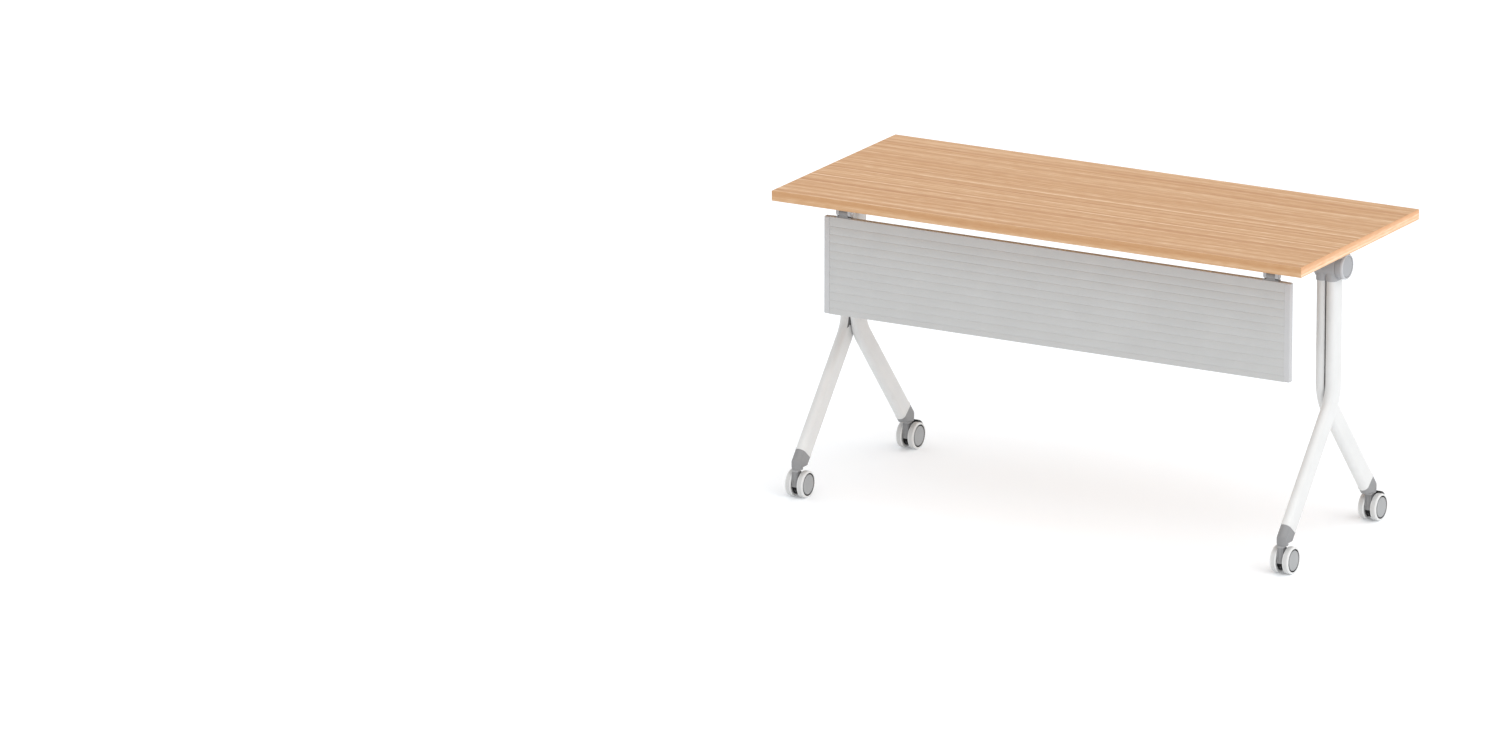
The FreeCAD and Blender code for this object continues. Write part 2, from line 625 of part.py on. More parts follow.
def make_panel():
    low = (f"-1 * {SHEET_END}", PANEL_FRONT, PANEL_BASE)
    outside = box("sheet_outside", low, (f"2 * {SHEET_END}", "panel_thick", "panel_height"))
    past_end = f"-1 * {SHEET_END} - {OVER}"
    past_length = f"2 * {SHEET_END} + 2 * {OVER}"
    hollow = box("sheet_hollow", (past_end, f"{PANEL_FRONT} + panel_wall", f"{PANEL_BASE} + panel_wall"),
                 (past_length, "panel_thick - 2 * panel_wall", "panel_height - 2 * panel_wall"))
    grooves = []
    for step in range(GROOVE_COUNT):
        z = f"{PANEL_TOP} - groove_first - {step} * groove_pitch - groove_width / 2"
        grooves.append(box(f"sheet_groove_{step}", (past_end, f"{PANEL_FRONT} - {OVER}", z),
                           (past_length, f"groove_depth + {OVER}", "groove_width")))
    node("panel_sheet", cut("sheet", outside, hollow, *grooves))

    block = box("panel_cap_block", (SHEET_END, PANEL_FRONT, PANEL_BASE),
                ("panel_cap_width", "panel_thick", "panel_height"))
    rounded = doc.addObject("Part::Fillet", "panel_cap_rounded")
    rounded.Base = block
    radius = min(SIZES["panel_cap_round"], 0.4 * SIZES["panel_thick"])
    rounded.Edges = [(number, radius, radius) for number in edges_off_inner_end(block)]
    gap = "(panel_wall + fit_clearance)"
    plug_low = (f"{SHEET_END} - panel_plug_length", f"{PANEL_FRONT} + {gap}", f"{PANEL_BASE} + {gap}")
    plug = box("panel_cap_plug", plug_low,
               (f"panel_plug_length + {OVER}", f"panel_thick - 2 * {gap}", f"panel_height - 2 * {gap}"))
    cap = fuse("panel_cap", rounded, plug)
    node("panel_end_caps", compound("panel_cap_pair", [cap, mirror("panel_cap_mirror", cap)]))


def edges_off_inner_end(block):
    """Numbers of the edges of a block that reach away from its face of lowest X."""
    doc.recompute()
    middle = block.Shape.BoundBox.Center.x
    return [number for number, edge in enumerate(block.Shape.Edges, start=1) if edge.BoundBox.XMax > middle]


def make_hangers():
    """Screwed-on hangers with two cheeks; the panel's clip turns between them on a pin."""
    left = f"({HANGER_X} - hanger_width / 2)"
    front = f"({PANEL_MIDDLE} - hinge_eye_radius)"
    eye_depth = "2 * hinge_eye_radius"
    bore = rod_x("hanger_bore", (f"{left} - {OVER}", PANEL_MIDDLE, HINGE_Z),
                 "hinge_pin_diameter / 2 + run_clearance", f"hanger_width + 2 * {OVER}")
    flange = box("hanger_flange", (left, f"{PANEL_MIDDLE} - hanger_flange_depth / 2", FLANGE_BASE),
                 ("hanger_width", "hanger_flange_depth", "hanger_flange_thick"))
    bridge_base = f"({HINGE_Z} + hinge_eye_radius + hinge_eye_gap)"
    bridge = box("hanger_bridge", (left, front, bridge_base),
                 ("hanger_width", eye_depth, f"{UNDERSIDE} - {bridge_base}"))
    solids = [flange, bridge]
    for step, x in enumerate((left, f"({left} + hanger_width - hanger_cheek)")):
        solids.append(box(f"hanger_cheek_{step}", (x, front, HINGE_Z),
                          ("hanger_cheek", eye_depth, f"{UNDERSIDE} - {HINGE_Z}")))
        solids.append(rod_x(f"hanger_eye_{step}", (x, PANEL_MIDDLE, HINGE_Z),
                            "hinge_eye_radius", "hanger_cheek"))
    holes = screw_holes("hanger", hanger_screw_spots(1), f"{FLANGE_BASE} - {OVER}",
                        f"hanger_flange_thick + 2 * {OVER}")
    right = node("panel_hanger_right", cut("hanger", fuse("hanger_whole", *solids), bore, *holes))
    node("panel_hanger_left", mirror("hanger_mirror", right))
    make_screws("hanger_screws", hanger_screw_spots(1) + hanger_screw_spots(-1), FLANGE_BASE)

    base = box("clip_base", (left, f"{PANEL_MIDDLE} - clip_base_depth / 2", PANEL_TOP),
               ("hanger_width", "clip_base_depth", "clip_base_thick"))
    eye_left = f"({left} + hanger_cheek + rest_gap)"
    eye_width = "(hanger_width - 2 * hanger_cheek - 2 * rest_gap)"
    post = box("clip_post", (eye_left, f"{PANEL_MIDDLE} - clip_base_depth / 2", PANEL_TOP),
               (eye_width, "clip_base_depth", "hinge_rise"))
    eye = rod_x("clip_eye", (eye_left, PANEL_MIDDLE, HINGE_Z), "hinge_eye_radius", eye_width)
    clip = cut("clip", fuse("clip_whole", base, post, eye), bore)
    node("panel_clips", compound("clip_pair", [clip, mirror("clip_mirror", clip)]))
    pin = rod_x("hinge_pin", (left, PANEL_MIDDLE, HINGE_Z), "hinge_pin_diameter / 2", "hanger_width")
    node("panel_hinge_pins", compound("hinge_pin_pair", [pin, mirror("hinge_pin_mirror", pin)]))


# Casters

def make_caster(way, side, middle, tag, braked):
    """A twin-wheel caster whose wheels trail behind its stem; only a braked one has a slot and a pedal."""
    x = f"{side} * {middle}"
    axle_y = f"({stem_y(way)} + trail)"
    half = "body_width / 2"
    disc = rod_x(f"disc_{tag}", (f"{x} - {half}", axle_y, WHEEL_RADIUS), "body_radius", "body_width")
    rise = f"{BODY_TOP} - {WHEEL_RADIUS}"
    block = box(f"block_{tag}", (f"{x} - {half}", f"{stem_y(way)} - body_lead", WHEEL_RADIUS),
                ("body_width", "body_lead", rise))
    column = rod_z(f"column_{tag}", (x, stem_y(way), WHEEL_RADIUS), "column_radius", rise)
    holes = [rod_z(f"stem_bore_{tag}", (x, stem_y(way), STEM_BASE),
                   "stem_diameter / 2 + run_clearance", f"stem_in_body + {OVER}")]
    holes.append(rod_x(f"axle_bore_{tag}", (f"{x} - body_width", axle_y, WHEEL_RADIUS),
                       "axle_diameter / 2 + fit_clearance", "2 * body_width"))
    if braked:
        holes += brake_slot(x, axle_y, tag)
    whole = fuse(f"housing_whole_{tag}", disc, block, column)
    node(f"caster_body_{tag}", cut(f"housing_{tag}", whole, *holes))
    axle = rod_x(f"axle_{tag}", (f"{x} - {AXLE_HALF}", axle_y, WHEEL_RADIUS),
                 "axle_diameter / 2", f"2 * {AXLE_HALF}")
    node(f"caster_axle_{tag}", axle)
    for name, turn in (("outer", side), ("inner", -side)):
        make_wheel(f"{name}_{tag}", x, axle_y, turn)
        make_hubcap(f"{name}_{tag}", x, axle_y, turn)
    if braked:
        make_pedal(tag, x, axle_y)


def make_wheel(tag, x, y, turn):
    """A revolved wheel with rim, web and hub; turn 1 faces +X and -1 faces -X."""
    web_in = f"{WHEEL_IN} + web_inset"
    web_out = f"{WHEEL_IN} + web_inset + web_thick"
    hub_out = f"{WHEEL_OUT} - hub_recess"
    bore = "axle_diameter / 2 + run_clearance"
    shoulder = f"{WHEEL_RADIUS} - wheel_edge"
    corners = [
        (WHEEL_IN, bore), (WHEEL_IN, "hub_radius"), (web_in, "hub_radius"), (web_in, RIM_RADIUS),
        (WHEEL_IN, RIM_RADIUS), (WHEEL_IN, shoulder), (f"{WHEEL_IN} + wheel_edge", WHEEL_RADIUS),
        (f"{WHEEL_OUT} - wheel_edge", WHEEL_RADIUS), (WHEEL_OUT, shoulder), (WHEEL_OUT, RIM_RADIUS),
        (web_out, RIM_RADIUS), (web_out, "hub_radius"), (hub_out, "hub_radius"), (hub_out, bore),
    ]
    body = doc.addObject("PartDesign::Body", f"wheel_body_{tag}")
    sketch = sketch_on(body, "XY_Plane", f"wheel_profile_{tag}")
    corner_loop(sketch, corners)
    doc.recompute()
    spin = body.newObject("PartDesign::Revolution", f"wheel_spin_{tag}")
    spin.Profile = sketch
    spin.ReferenceAxis = (sketch, ["H_Axis"])
    spin.Angle = 360
    body.Tip = spin
    body.Placement = FreeCAD.Placement(FreeCAD.Vector(), facing(turn))
    node(f"wheel_{tag}", place(body, x, y, WHEEL_RADIUS))


def facing(turn):
    return FreeCAD.Rotation(Z_AXIS, 0 if turn > 0 else 180)


def make_hubcap(tag, x, y, turn):
    radius = f"({RIM_RADIUS} - hubcap_gap)"
    disc_in = f"({WHEEL_OUT} + hubcap_proud - hubcap_thick)"
    hub_out = f"({WHEEL_OUT} - hub_recess)"
    boss = rod_x(f"hubcap_boss_{tag}", (hub_out, "0", "0"),
                 "hubcap_boss_radius", f"{disc_in} + {OVER} - {hub_out}")
    disc = rod_x(f"hubcap_disc_{tag}", (disc_in, "0", "0"), radius, "hubcap_thick - hubcap_bevel")
    bevel = cone_x(f"hubcap_bevel_{tag}", (f"{disc_in} + hubcap_thick - hubcap_bevel", "0", "0"), radius,
                   f"{radius} - hubcap_bevel", "hubcap_bevel")
    cap = fuse(f"hubcap_whole_{tag}", boss, disc, bevel)
    cap.Placement = FreeCAD.Placement(FreeCAD.Vector(), facing(turn))
    node(f"hubcap_{tag}", place(cap, x, y, WHEEL_RADIUS))


def brake_slot(x, y, tag):
    """Room in a braked housing for the pedal's ring and for its arm over the whole travel."""
    half = "(arm_thick / 2 + arm_slot_clearance)"
    ring = "axle_diameter / 2 + arm_ring_wall + 2 * arm_slot_clearance"
    start = (f"{x} - {half}", y, WHEEL_RADIUS)
    ring_room = rod_x(f"slot_ring_{tag}", start, ring, f"2 * {half}")
    inner_radius = SIZES["axle_diameter"] / 2 + SIZES["arm_ring_wall"]
    arm_half = SIZES["arm_width"] / 2 + SIZES["arm_slot_clearance"]
    arm_angle = math.degrees(math.asin(arm_half / inner_radius))
    span = SIZES["brake_travel"] + 2 * arm_angle
    first_angle = SIZES["hood_angle"] - SIZES["brake_travel"] - arm_angle
    arm_room = sector_x(f"slot_arm_{tag}", start, "2 * body_radius", f"2 * {half}", first_angle, str(span))
    return [ring_room, arm_room]


def make_pedal(tag, x, y):
    """A hood over the back of the wheels on an arm that turns about the axle; a press tips it down."""
    hood_start = ("0 - hood_width / 2", "0", "0")
    hood_out = f"({HOOD_INNER} + hood_thick)"
    hood_disc = sector_x(f"hood_disc_{tag}", hood_start, hood_out, "hood_width",
                         -SIZES["hood_span"] / 2, "hood_span")
    hood_room = rod_x(f"hood_room_{tag}", ("0 - hood_width", "0", "0"), HOOD_INNER, "2 * hood_width")
    hood = cut(f"hood_{tag}", hood_disc, hood_room)
    arm = box(f"arm_{tag}", ("0 - arm_thick / 2", "0", "0 - arm_width / 2"),
              ("arm_thick", f"{HOOD_INNER} + hood_thick / 2", "arm_width"))
    ring_start = ("0 - arm_thick / 2", "0", "0")
    ring = rod_x(f"ring_{tag}", ring_start, "axle_diameter / 2 + arm_ring_wall", "arm_thick")
    bore = rod_x(f"ring_bore_{tag}", ("0 - arm_thick", "0", "0"),
                 "axle_diameter / 2 + run_clearance", "2 * arm_thick")
    pedal = cut(f"pedal_{tag}", fuse(f"pedal_whole_{tag}", hood, arm, ring), bore)
    pedal.Placement = FreeCAD.Placement(FreeCAD.Vector(), FreeCAD.Rotation(X_AXIS, 1))
    pedal.setExpression("Placement.Rotation.Angle", ex("hood_angle"))
    node(f"brake_pedal_{tag}", place(pedal, x, y, WHEEL_RADIUS))


# Corners of the desk: way along Y, side along X, the tube that ends there and the corner's name
CORNERS = (
    (-1, -1, OUTER_TUBE_X, "front_left"),
    (-1, 1, OUTER_TUBE_X, "front_right"),
    (1, -1, INNER_TUBE_X, "rear_left"),
    (1, 1, INNER_TUBE_X, "rear_right"),
)


def build():
    make_sheet()
    make_board()
    make_brackets()
    make_locks()
    make_panel()
    make_hangers()
    make_head()
    make_head_fittings()
    for way, side, middle, tag in CORNERS:
        make_tube(f"leg_tube_{tag}", way, side, middle)
        make_socket(f"leg_socket_{tag}", way, side, middle)
        make_caster(way, side, middle, tag, braked=way > 0)
    make_stems()
    doc.recompute()


def check():
    for thing in doc.Objects:
        if "Invalid" in thing.State or "Error" in thing.State:
            raise RuntimeError(f"{thing.Label} failed: {thing.State}")
    for thing in nodes:
        if thing.Shape.isNull() or not thing.Shape.isValid() or not thing.Shape.Solids:
            raise RuntimeError(f"{thing.Label} has no valid solid")


def write():
    os.makedirs("parts", exist_ok=True)
    for thing in nodes:
        thing.Shape.exportStep(f"parts/{thing.Label}.step")
        print(thing.Label, len(thing.Shape.Solids), round(thing.Shape.Volume, 1))


build()
check()
write()
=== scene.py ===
"""Looks of a flip-top desk on casters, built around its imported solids. Lengths are in metres."""
import bmesh
import bpy
import math
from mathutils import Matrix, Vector


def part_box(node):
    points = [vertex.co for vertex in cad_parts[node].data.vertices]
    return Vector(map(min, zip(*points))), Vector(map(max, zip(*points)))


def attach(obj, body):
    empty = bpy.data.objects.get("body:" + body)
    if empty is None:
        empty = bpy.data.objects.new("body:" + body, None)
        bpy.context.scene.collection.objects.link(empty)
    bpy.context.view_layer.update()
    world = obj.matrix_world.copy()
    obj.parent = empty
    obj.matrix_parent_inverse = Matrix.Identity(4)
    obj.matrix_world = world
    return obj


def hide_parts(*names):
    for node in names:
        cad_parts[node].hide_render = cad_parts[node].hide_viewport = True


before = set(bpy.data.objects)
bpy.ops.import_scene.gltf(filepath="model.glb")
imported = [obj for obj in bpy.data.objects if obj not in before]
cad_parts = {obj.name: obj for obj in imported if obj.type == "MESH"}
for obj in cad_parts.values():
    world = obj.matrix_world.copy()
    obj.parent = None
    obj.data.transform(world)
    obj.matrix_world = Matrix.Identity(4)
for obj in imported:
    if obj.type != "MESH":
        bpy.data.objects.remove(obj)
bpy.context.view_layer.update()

MM = 0.001
CORNERS = ("front_left", "front_right", "rear_left", "rear_right")

# Leg tubes
AXIS_Y = -0.024
TUBE_TOP = 0.666
TUBE_END = 0.104
TUBE_HALF_THICK = 0.0125
TUBE_HALF_DEPTH = 0.026
KNEE_Z = 0.366
LEAN = math.radians(40)
BEND_RADIUS = 0.110
BEND_LEAD = 0.020
# Walls that face a neighbour this squarely get painted shade: dark grey for the shadow in the gap between the
# two
PAINTED_SHADE_FACING = 0.9
# Rim at a tube's foot in millimetres: the distance back from the tube's end and the height above its wall
FOOT_RIM = ((2.6, 0.0), (2.1, 0.4), (1.2, 0.8), (-0.8, 0.95), (-2.2, 0.8), (-3.1, 0.35), (-3.4, -0.3))

# Caster housings; angles are in degrees about the axle, from +Y towards +Z
WHEEL_RADIUS = 0.0325
TRAIL = 0.012
BODY_RADIUS = 0.027
BODY_HALF = 0.0075
BODY_LEAD = 0.0135
BODY_TOP = 0.070
BODY_LAST = 457
CORE_INSET = 0.0004
CORE_EDGE = 0.0005
CHEEK_EDGE = 0.0007
# Half the distance between the two slits, low and high on the housing, and the slits' width
SLIT_LOW_Z, SLIT_LOW_HALF = 0.006, 0.0027
SLIT_HIGH_Z, SLIT_HIGH_HALF = 0.066, 0.0048
SLIT_WIDTH = 0.00035
# Back of the housing up to its lid in millimetres: the distance behind the stem and the height
HOUSING_BACK = ((7.7, 60.9), (7.0, 62.6), (6.7, 64.2))
LID_BASE = 0.0658
LID_BACK = 0.0066
LID_RADIUS = 0.0072
LID_LEAD = 0.0132
LID_EDGE = 0.0005
STEM_BORE = 0.00556

# Black insert and its rib in the housing's front recess
INSERT_FIRST, INSERT_LAST = 190, 244
INSERT_GAP = 1
RECESS_RADIUS = 0.018
INSERT_OUTER, INSERT_INNER = 0.0254, 0.0179
INSERT_HALF = 0.0072
INSERT_RIB_FIRST, INSERT_RIB_LAST = 206, 222
INSERT_RIB_OUTER, INSERT_RIB_INNER = 0.0266, 0.0252
INSERT_RIB_HALF = 0.0016
INSERT_EDGE = 0.0004

# Brake pedals and the room for their arm in the housing
ARM_ROOM_FIRST, ARM_ROOM_LAST = 366, 448
ARM_FLOOR_FIRST, ARM_FLOOR_LAST = 370, 442
ARM_FLOOR_RADIUS = 0.011
HOOD_FIRST, HOOD_LAST = 25.5, 79.5
HOOD_OUTER, HOOD_INNER = 0.03735, 0.0341
HOOD_HALF = 0.0169
HOOD_STEPS = 100
HOOD_EDGE = 0.0006
HOOD_RIB = 0.00055
HOOD_RIB_PITCH = 9
RIBBED_FIRST, RIBBED_LAST = 32, 74
ARM_ANGLE = 52.5
ARM_HALF = 0.0029
ARM_EDGE = 0.0005
# Corners of the arm in millimetres: the distance from the axle and to the side
ARM_CORNERS = ((7.5, -4.6), (34.3, -4.9), (34.3, 4.9), (7.5, 4.6))

# Front panel
GROOVE_COUNT = 11
GROOVE_FIRST = 0.023
GROOVE_PITCH = 0.020
GROOVE_DEPTH = 0.0007
GROOVE_HALF = 0.0018
GROOVE_STEPS = 4
PANEL_EDGE = 0.0009

# Small parts
EAR_CAP_THICK = 0.006
FLUTE_COUNT, FLUTE_DEPTH = 14, 0.00035
GRIP_RADIUS, GRIP_LENGTH = 0.0056, 0.010
SCREW_RADIUS = 0.0045
SCREW_SPACING = 0.092
LOBE_COUNT, LOBE_HEIGHT = 6, 0.0003
RECESS_MOUTH, RECESS_DEPTH = 0.0023, 0.002

# Edges of solids, and the angles in degrees up to which faces are one and edges are smooth
SOLID_EDGE = 0.0008
SOLID_WELD = 0.00001
FLAT_ANGLE = 0.5
SHARP_ANGLE = 35

# Profiles of turned pieces in millimetres: the place along the axis, radius, rounding and paint
# The wheel's paint 2 is painted shade, dark grey in the hub recess round the hubcap
WHEEL_PROFILE = [
    (0.0, 4.05, 0.4, 0), (0.0, 9.0, 0.4, 0), (2.5, 9.0, 0.6, 0), (2.5, 26.5, 0.8, 0), (0.0, 26.5, 0.5, 0),
    (0.0, 32.0, 3.2, 0), (3.4, 32.5, 0.3, 1), (3.7, 31.9, 0.2, 1), (4.1, 32.4, 0.3, 1),
    (7.5, 32.5, 0.0, 1), (10.9, 32.4, 0.3, 1), (11.3, 31.9, 0.2, 0), (11.6, 32.5, 0.3, 0),
    (15.0, 32.0, 3.2, 0), (15.0, 27.0, 0.5, 2), (14.4, 26.5, 0.2, 2), (6.5, 26.5, 0.8, 2),
    (6.5, 9.0, 0.8, 0), (11.5, 9.0, 0.4, 0), (11.5, 4.05, 0.4, 0),
]
HUBCAP_PROFILE = [
    (11.5, 0.0, 0, 0), (11.5, 8.0, 0.3, 0), (12.5, 8.0, 0.3, 0), (12.5, 24.3, 0.4, 0),
    (14.8, 24.3, 1.4, 0), (16.0, 22.6, 0.8, 0), (16.0, 21.2, 0.5, 0), (15.5, 20.4, 0.6, 0),
    (15.6, 12.0, 2.0, 0), (15.8, 0.0, 0, 0),
]
PEDAL_RING_PROFILE = [(-3.0, 4.06, 0.3, 0), (-3.0, 9.0, 0.6, 0), (3.0, 9.0, 0.6, 0), (3.0, 4.06, 0.3, 0)]
# The ear cap's paint 1 is painted shade, dark grey in the fine groove between the ring and the sunk face
EAR_CAP_PROFILE = [
    (0.0, 0.0, 0, 0), (0.0, 30.5, 0.2, 0), (3.6, 30.5, 2.2, 0), (6.0, 28.2, 1.0, 0), (6.0, 26.2, 0.6, 0),
    (4.5, 25.2, 0.3, 1), (4.5, 24.4, 0.3, 2), (4.9, 23.6, 0.6, 2), (4.7, 12.0, 3.0, 2), (4.6, 0.0, 0, 2),
]
KNOB_PROFILE = [
    (0.0, 0.0, 0, 0), (0.0, 4.6, 0.6, 0), (0.8, 5.8, 0.6, 0), (9.0, 5.8, 0.8, 0), (10.5, 4.4, 0.8, 0),
    (13.5, 4.4, 0.6, 0), (14.5, 5.4, 0.5, 0), (16.0, 5.4, 0.5, 0), (16.0, 3.06, 0.2, 0),
    (8.2, 3.06, 0, 0), (8.2, 0.0, 0, 0),
]
SCREW_PROFILE = [
    (2.5, 0.0, 0, 0), (2.5, 2.0, 0, 0), (2.5, 4.5, 0.2, 0), (2.0, 4.5, 0.4, 0), (0.0, 3.0, 1.2, 0),
    (0.0, 2.1, 0.1, 0), (1.4, 2.0, 0.1, 0), (1.5, 0.0, 0, 0),
]

# Usual range of a noise
NOISE_LOW, NOISE_HIGH = 0.3, 0.7

# Moulded and coated surfaces: clouds per metre, their share of the tone, the range of tone and gloss
CLOUD_DENSITY = 14.0
CLOUD_SHARE, FINE_SHARE = 0.7, 0.3
TONE_LOW, TONE_HIGH = 0.32, 0.68
GLOSS_RANGE = 0.05
GRAIN_HEIGHT = 0.00008

# Bare metal: lines per metre across and along the brushing
BRUSH_ACROSS, BRUSH_ALONG = 2600.0, 60.0
BRUSH_GLOSS_RANGE = 0.08
BRUSH_HEIGHT = 0.00004

# Wood: widths of what runs from end to end, then length and width of what doesn't
BAND_WIDTH = 0.07
LINE_WIDTH = 0.018
FINE_LINE_WIDTH = 0.008
WAVER_SIZE = (0.7, 0.2)
WAVER_REACH = 1.5
HAIR_SIZE = (1.1, 0.005)
SPECK_SIZE = (0.03, 0.004)
FLECK_SIZE = (0.06, 0.005)
FLECK_LOW, FLECK_HIGH = 0.64, 0.8
FLECK_DARKEST = 0.88
WOOD_HEIGHT = 0.0001
# How squarely a face of the edge band must look along X to count as an end and take the painted light
PAINTED_LIGHT_FACING = 0.7

# Studio: each light's direction, strength and spread in degrees
SKY_STRENGTH = 0.80
KEY_LIGHT = ((3.0, -1.2, 4.6), 1.2, 80)
SIDE_LIGHT = ((4.0, -0.5, 1.2), 0.34, 60)
FLOOR_HALF = 60
FLOOR_GLOW = 0.14

# Camera: its direction in degrees, its distance and lens, and where it looks beside the desk's middle
CAMERA_AZIMUTH = 29.56
CAMERA_ELEVATION = 15.69
CAMERA_DISTANCE = 32.575
CAMERA_LENS = 332.8
CAMERA_SENSOR = 36
CAMERA_NEAR, CAMERA_FAR = 1.0, 300.0
DESK_MIDDLE = (0, 0, 0.4)
LOOK_LEFT = 0.8072
LOOK_DOWN = 0.0806


# Materials

def srgb(red, green, blue):
    """A display colour of 0 to 255 as a linear colour."""
    def linear(value):
        share = value / 255
        return share / 12.92 if share <= 0.04045 else ((share + 0.055) / 1.055) ** 2.4
    return (linear(red), linear(green), linear(blue), 1.0)


def new_material(name, roughness, metallic=0.0, specular=0.5):
    material = bpy.data.materials.new(name)
    material.use_nodes = True
    shader = material.node_tree.nodes["Principled BSDF"]
    shader.inputs["Roughness"].default_value = roughness
    shader.inputs["Metallic"].default_value = metallic
    shader.inputs["Specular IOR Level"].default_value = specular
    return material, material.node_tree, shader


def add(tree, kind, inputs=None, links=None, **settings):
    """A node with its settings, input values and incoming links."""
    node = tree.nodes.new(kind)
    for name, value in settings.items():
        setattr(node, name, value)
    for name, value in (inputs or {}).items():
        node.inputs[name].default_value = value
    for name, source in (links or {}).items():
        tree.links.new(source, node.inputs[name])
    return node


def place_noise(tree, scale, detail=3.0, roughness=0.5):
    """Noise in the part's own coordinates, with its own density per metre along each axis."""
    coords = add(tree, "ShaderNodeTexCoord")
    mapping = add(tree, "ShaderNodeMapping", {"Scale": scale}, {"Vector": coords.outputs["Object"]})
    return add(tree, "ShaderNodeTexNoise", {"Scale": 1.0, "Detail": detail, "Roughness": roughness},
               {"Vector": mapping.outputs["Vector"]}).outputs["Fac"]


def ramp(tree, value, stops):
    node = add(tree, "ShaderNodeValToRGB", links={"Fac": value})
    points = node.color_ramp.elements
    while len(points) < len(stops):
        points.new(0.5)
    for point, (position, colour) in zip(points, stops):
        point.position = position
        point.color = colour
    return node.outputs["Color"]


def math_node(tree, operation, first, second):
    node = add(tree, "ShaderNodeMath", operation=operation)
    for socket, value in zip(node.inputs, (first, second)):
        if isinstance(value, float):
            socket.default_value = value
        else:
            tree.links.new(value, socket)
    return node.outputs["Value"]


def blend(tree, *shares):
    """The sum of values, each times its own share."""
    total = None
    for value, share in shares:
        part = math_node(tree, "MULTIPLY", value, share)
        total = part if total is None else math_node(tree, "ADD", total, part)
    return total


def spread(tree, value, low, high):
    """The value's usual noise range brought to low to high."""
    limits = {"From Min": NOISE_LOW, "From Max": NOISE_HIGH, "To Min": low, "To Max": high}
    return add(tree, "ShaderNodeMapRange", limits, {"Value": value}).outputs["Result"]


def set_bump(tree, shader, height, strength, distance):
    bump = add(tree, "ShaderNodeBump", {"Strength": strength, "Distance": distance}, {"Height": height})
    tree.links.new(bump.outputs["Normal"], shader.inputs["Normal"])


def moulded(name, dark, light, roughness, grain, grain_strength, specular=0.5):
    """A moulded, cast or coated surface: a faint cloudy tone, fine grain and an uneven gloss."""
    material, tree, shader = new_material(name, roughness, specular=specular)
    cloud = place_noise(tree, (CLOUD_DENSITY, CLOUD_DENSITY, CLOUD_DENSITY), 4.0)
    fine = place_noise(tree, (grain, grain, grain), 2.0)
    tone = blend(tree, (cloud, CLOUD_SHARE), (fine, FINE_SHARE))
    colour = ramp(tree, tone, [(TONE_LOW, dark), (TONE_HIGH, light)])
    gloss = spread(tree, cloud, roughness - GLOSS_RANGE, roughness + GLOSS_RANGE)
    tree.links.new(colour, shader.inputs["Base Color"])
    tree.links.new(gloss, shader.inputs["Roughness"])
    set_bump(tree, shader, fine, grain_strength, GRAIN_HEIGHT)
    return material


def brushed(name, dark, light, roughness, along):
    """Bare metal with fine lines along one axis."""
    material, tree, shader = new_material(name, roughness, 1.0)
    scale = [BRUSH_ACROSS, BRUSH_ACROSS, BRUSH_ACROSS]
    scale["XYZ".index(along)] = BRUSH_ALONG
    lines = place_noise(tree, tuple(scale), 3.0)
    gloss = spread(tree, lines, roughness - BRUSH_GLOSS_RANGE, roughness + BRUSH_GLOSS_RANGE)
    tree.links.new(ramp(tree, lines, [(NOISE_LOW, dark), (NOISE_HIGH, light)]), shader.inputs["Base Color"])
    tree.links.new(gloss, shader.inputs["Roughness"])
    set_bump(tree, shader, lines, 0.2, BRUSH_HEIGHT)
    return material


def grain_tone(tree, along_x, weights):
    """Straight grain along one axis: bands and lines from end to end, long hairs, short specks and flecks."""
    def streak(size, detail, roughness=0.5):
        length, width = size
        scale = (1 / length, 1 / width, 1 / width) if along_x else (1 / width, 1 / length, 1 / width)
        return place_noise(tree, scale, detail, roughness)

    waver = streak(WAVER_SIZE, 1.0)

    def unbroken(width):
        across = (0.0, 1 / width, 1 / width) if along_x else (1 / width, 0.0, 1 / width)
        coords = add(tree, "ShaderNodeTexCoord")
        count = add(tree, "ShaderNodeVectorMath", operation="DOT_PRODUCT")
        tree.links.new(coords.outputs["Object"], count.inputs[0])
        count.inputs[1].default_value = across
        place = blend(tree, (count.outputs["Value"], 1.0), (waver, WAVER_REACH))
        return add(tree, "ShaderNodeTexNoise", {"Scale": 1.0, "Detail": 1.0, "Roughness": 0.5}, {"W": place},
                   noise_dimensions="1D").outputs["Fac"]

    bands = unbroken(BAND_WIDTH)
    lines = unbroken(LINE_WIDTH)
    fine_lines = unbroken(FINE_LINE_WIDTH)
    hairs = streak(HAIR_SIZE, 2.0, 0.6)
    specks = streak(SPECK_SIZE, 1.0)
    flecks = streak(FLECK_SIZE, 2.0)
    tone = blend(tree, *zip((bands, lines, fine_lines, hairs, specks), weights))
    return math_node(tree, "ADD", tone, 0.5 * (1 - sum(weights))), lines, hairs, flecks


WOOD_STOPS = [
    (0.36, srgb(174, 119, 71)),
    (0.44, srgb(191, 141, 95)),
    (0.50, srgb(200, 155, 112)),
    (0.55, srgb(213, 173, 133)),
    (0.62, srgb(236, 206, 174)),
]

# How much bands, lines, fine lines, hairs and specks move the grain's tone from its middle
GRAIN_WEIGHTS = (0.05, 0.22, 0.12, 0.19, 0.13)
# Contrast and tint of the edge band beside the board, on its long sides and on its ends; the ends' lighter
# tint is painted light, standing for the light that falls on them
LONG_EDGE = (0.6, (0.96, 0.95, 0.93))
END_EDGE_PAINTED_LIGHT = (0.7, (1.26, 1.22, 1.27))


def toned(stops, contrast, tint):
    """Stops drawn towards their middle colour and multiplied by a tint."""
    middle = stops[len(stops) // 2][1]
    out = []
    for position, colour in stops:
        mixed = [(m + (c - m) * contrast) * share for c, m, share in zip(colour, middle, tint)]
        out.append((position, (*mixed, 1.0)))
    return out


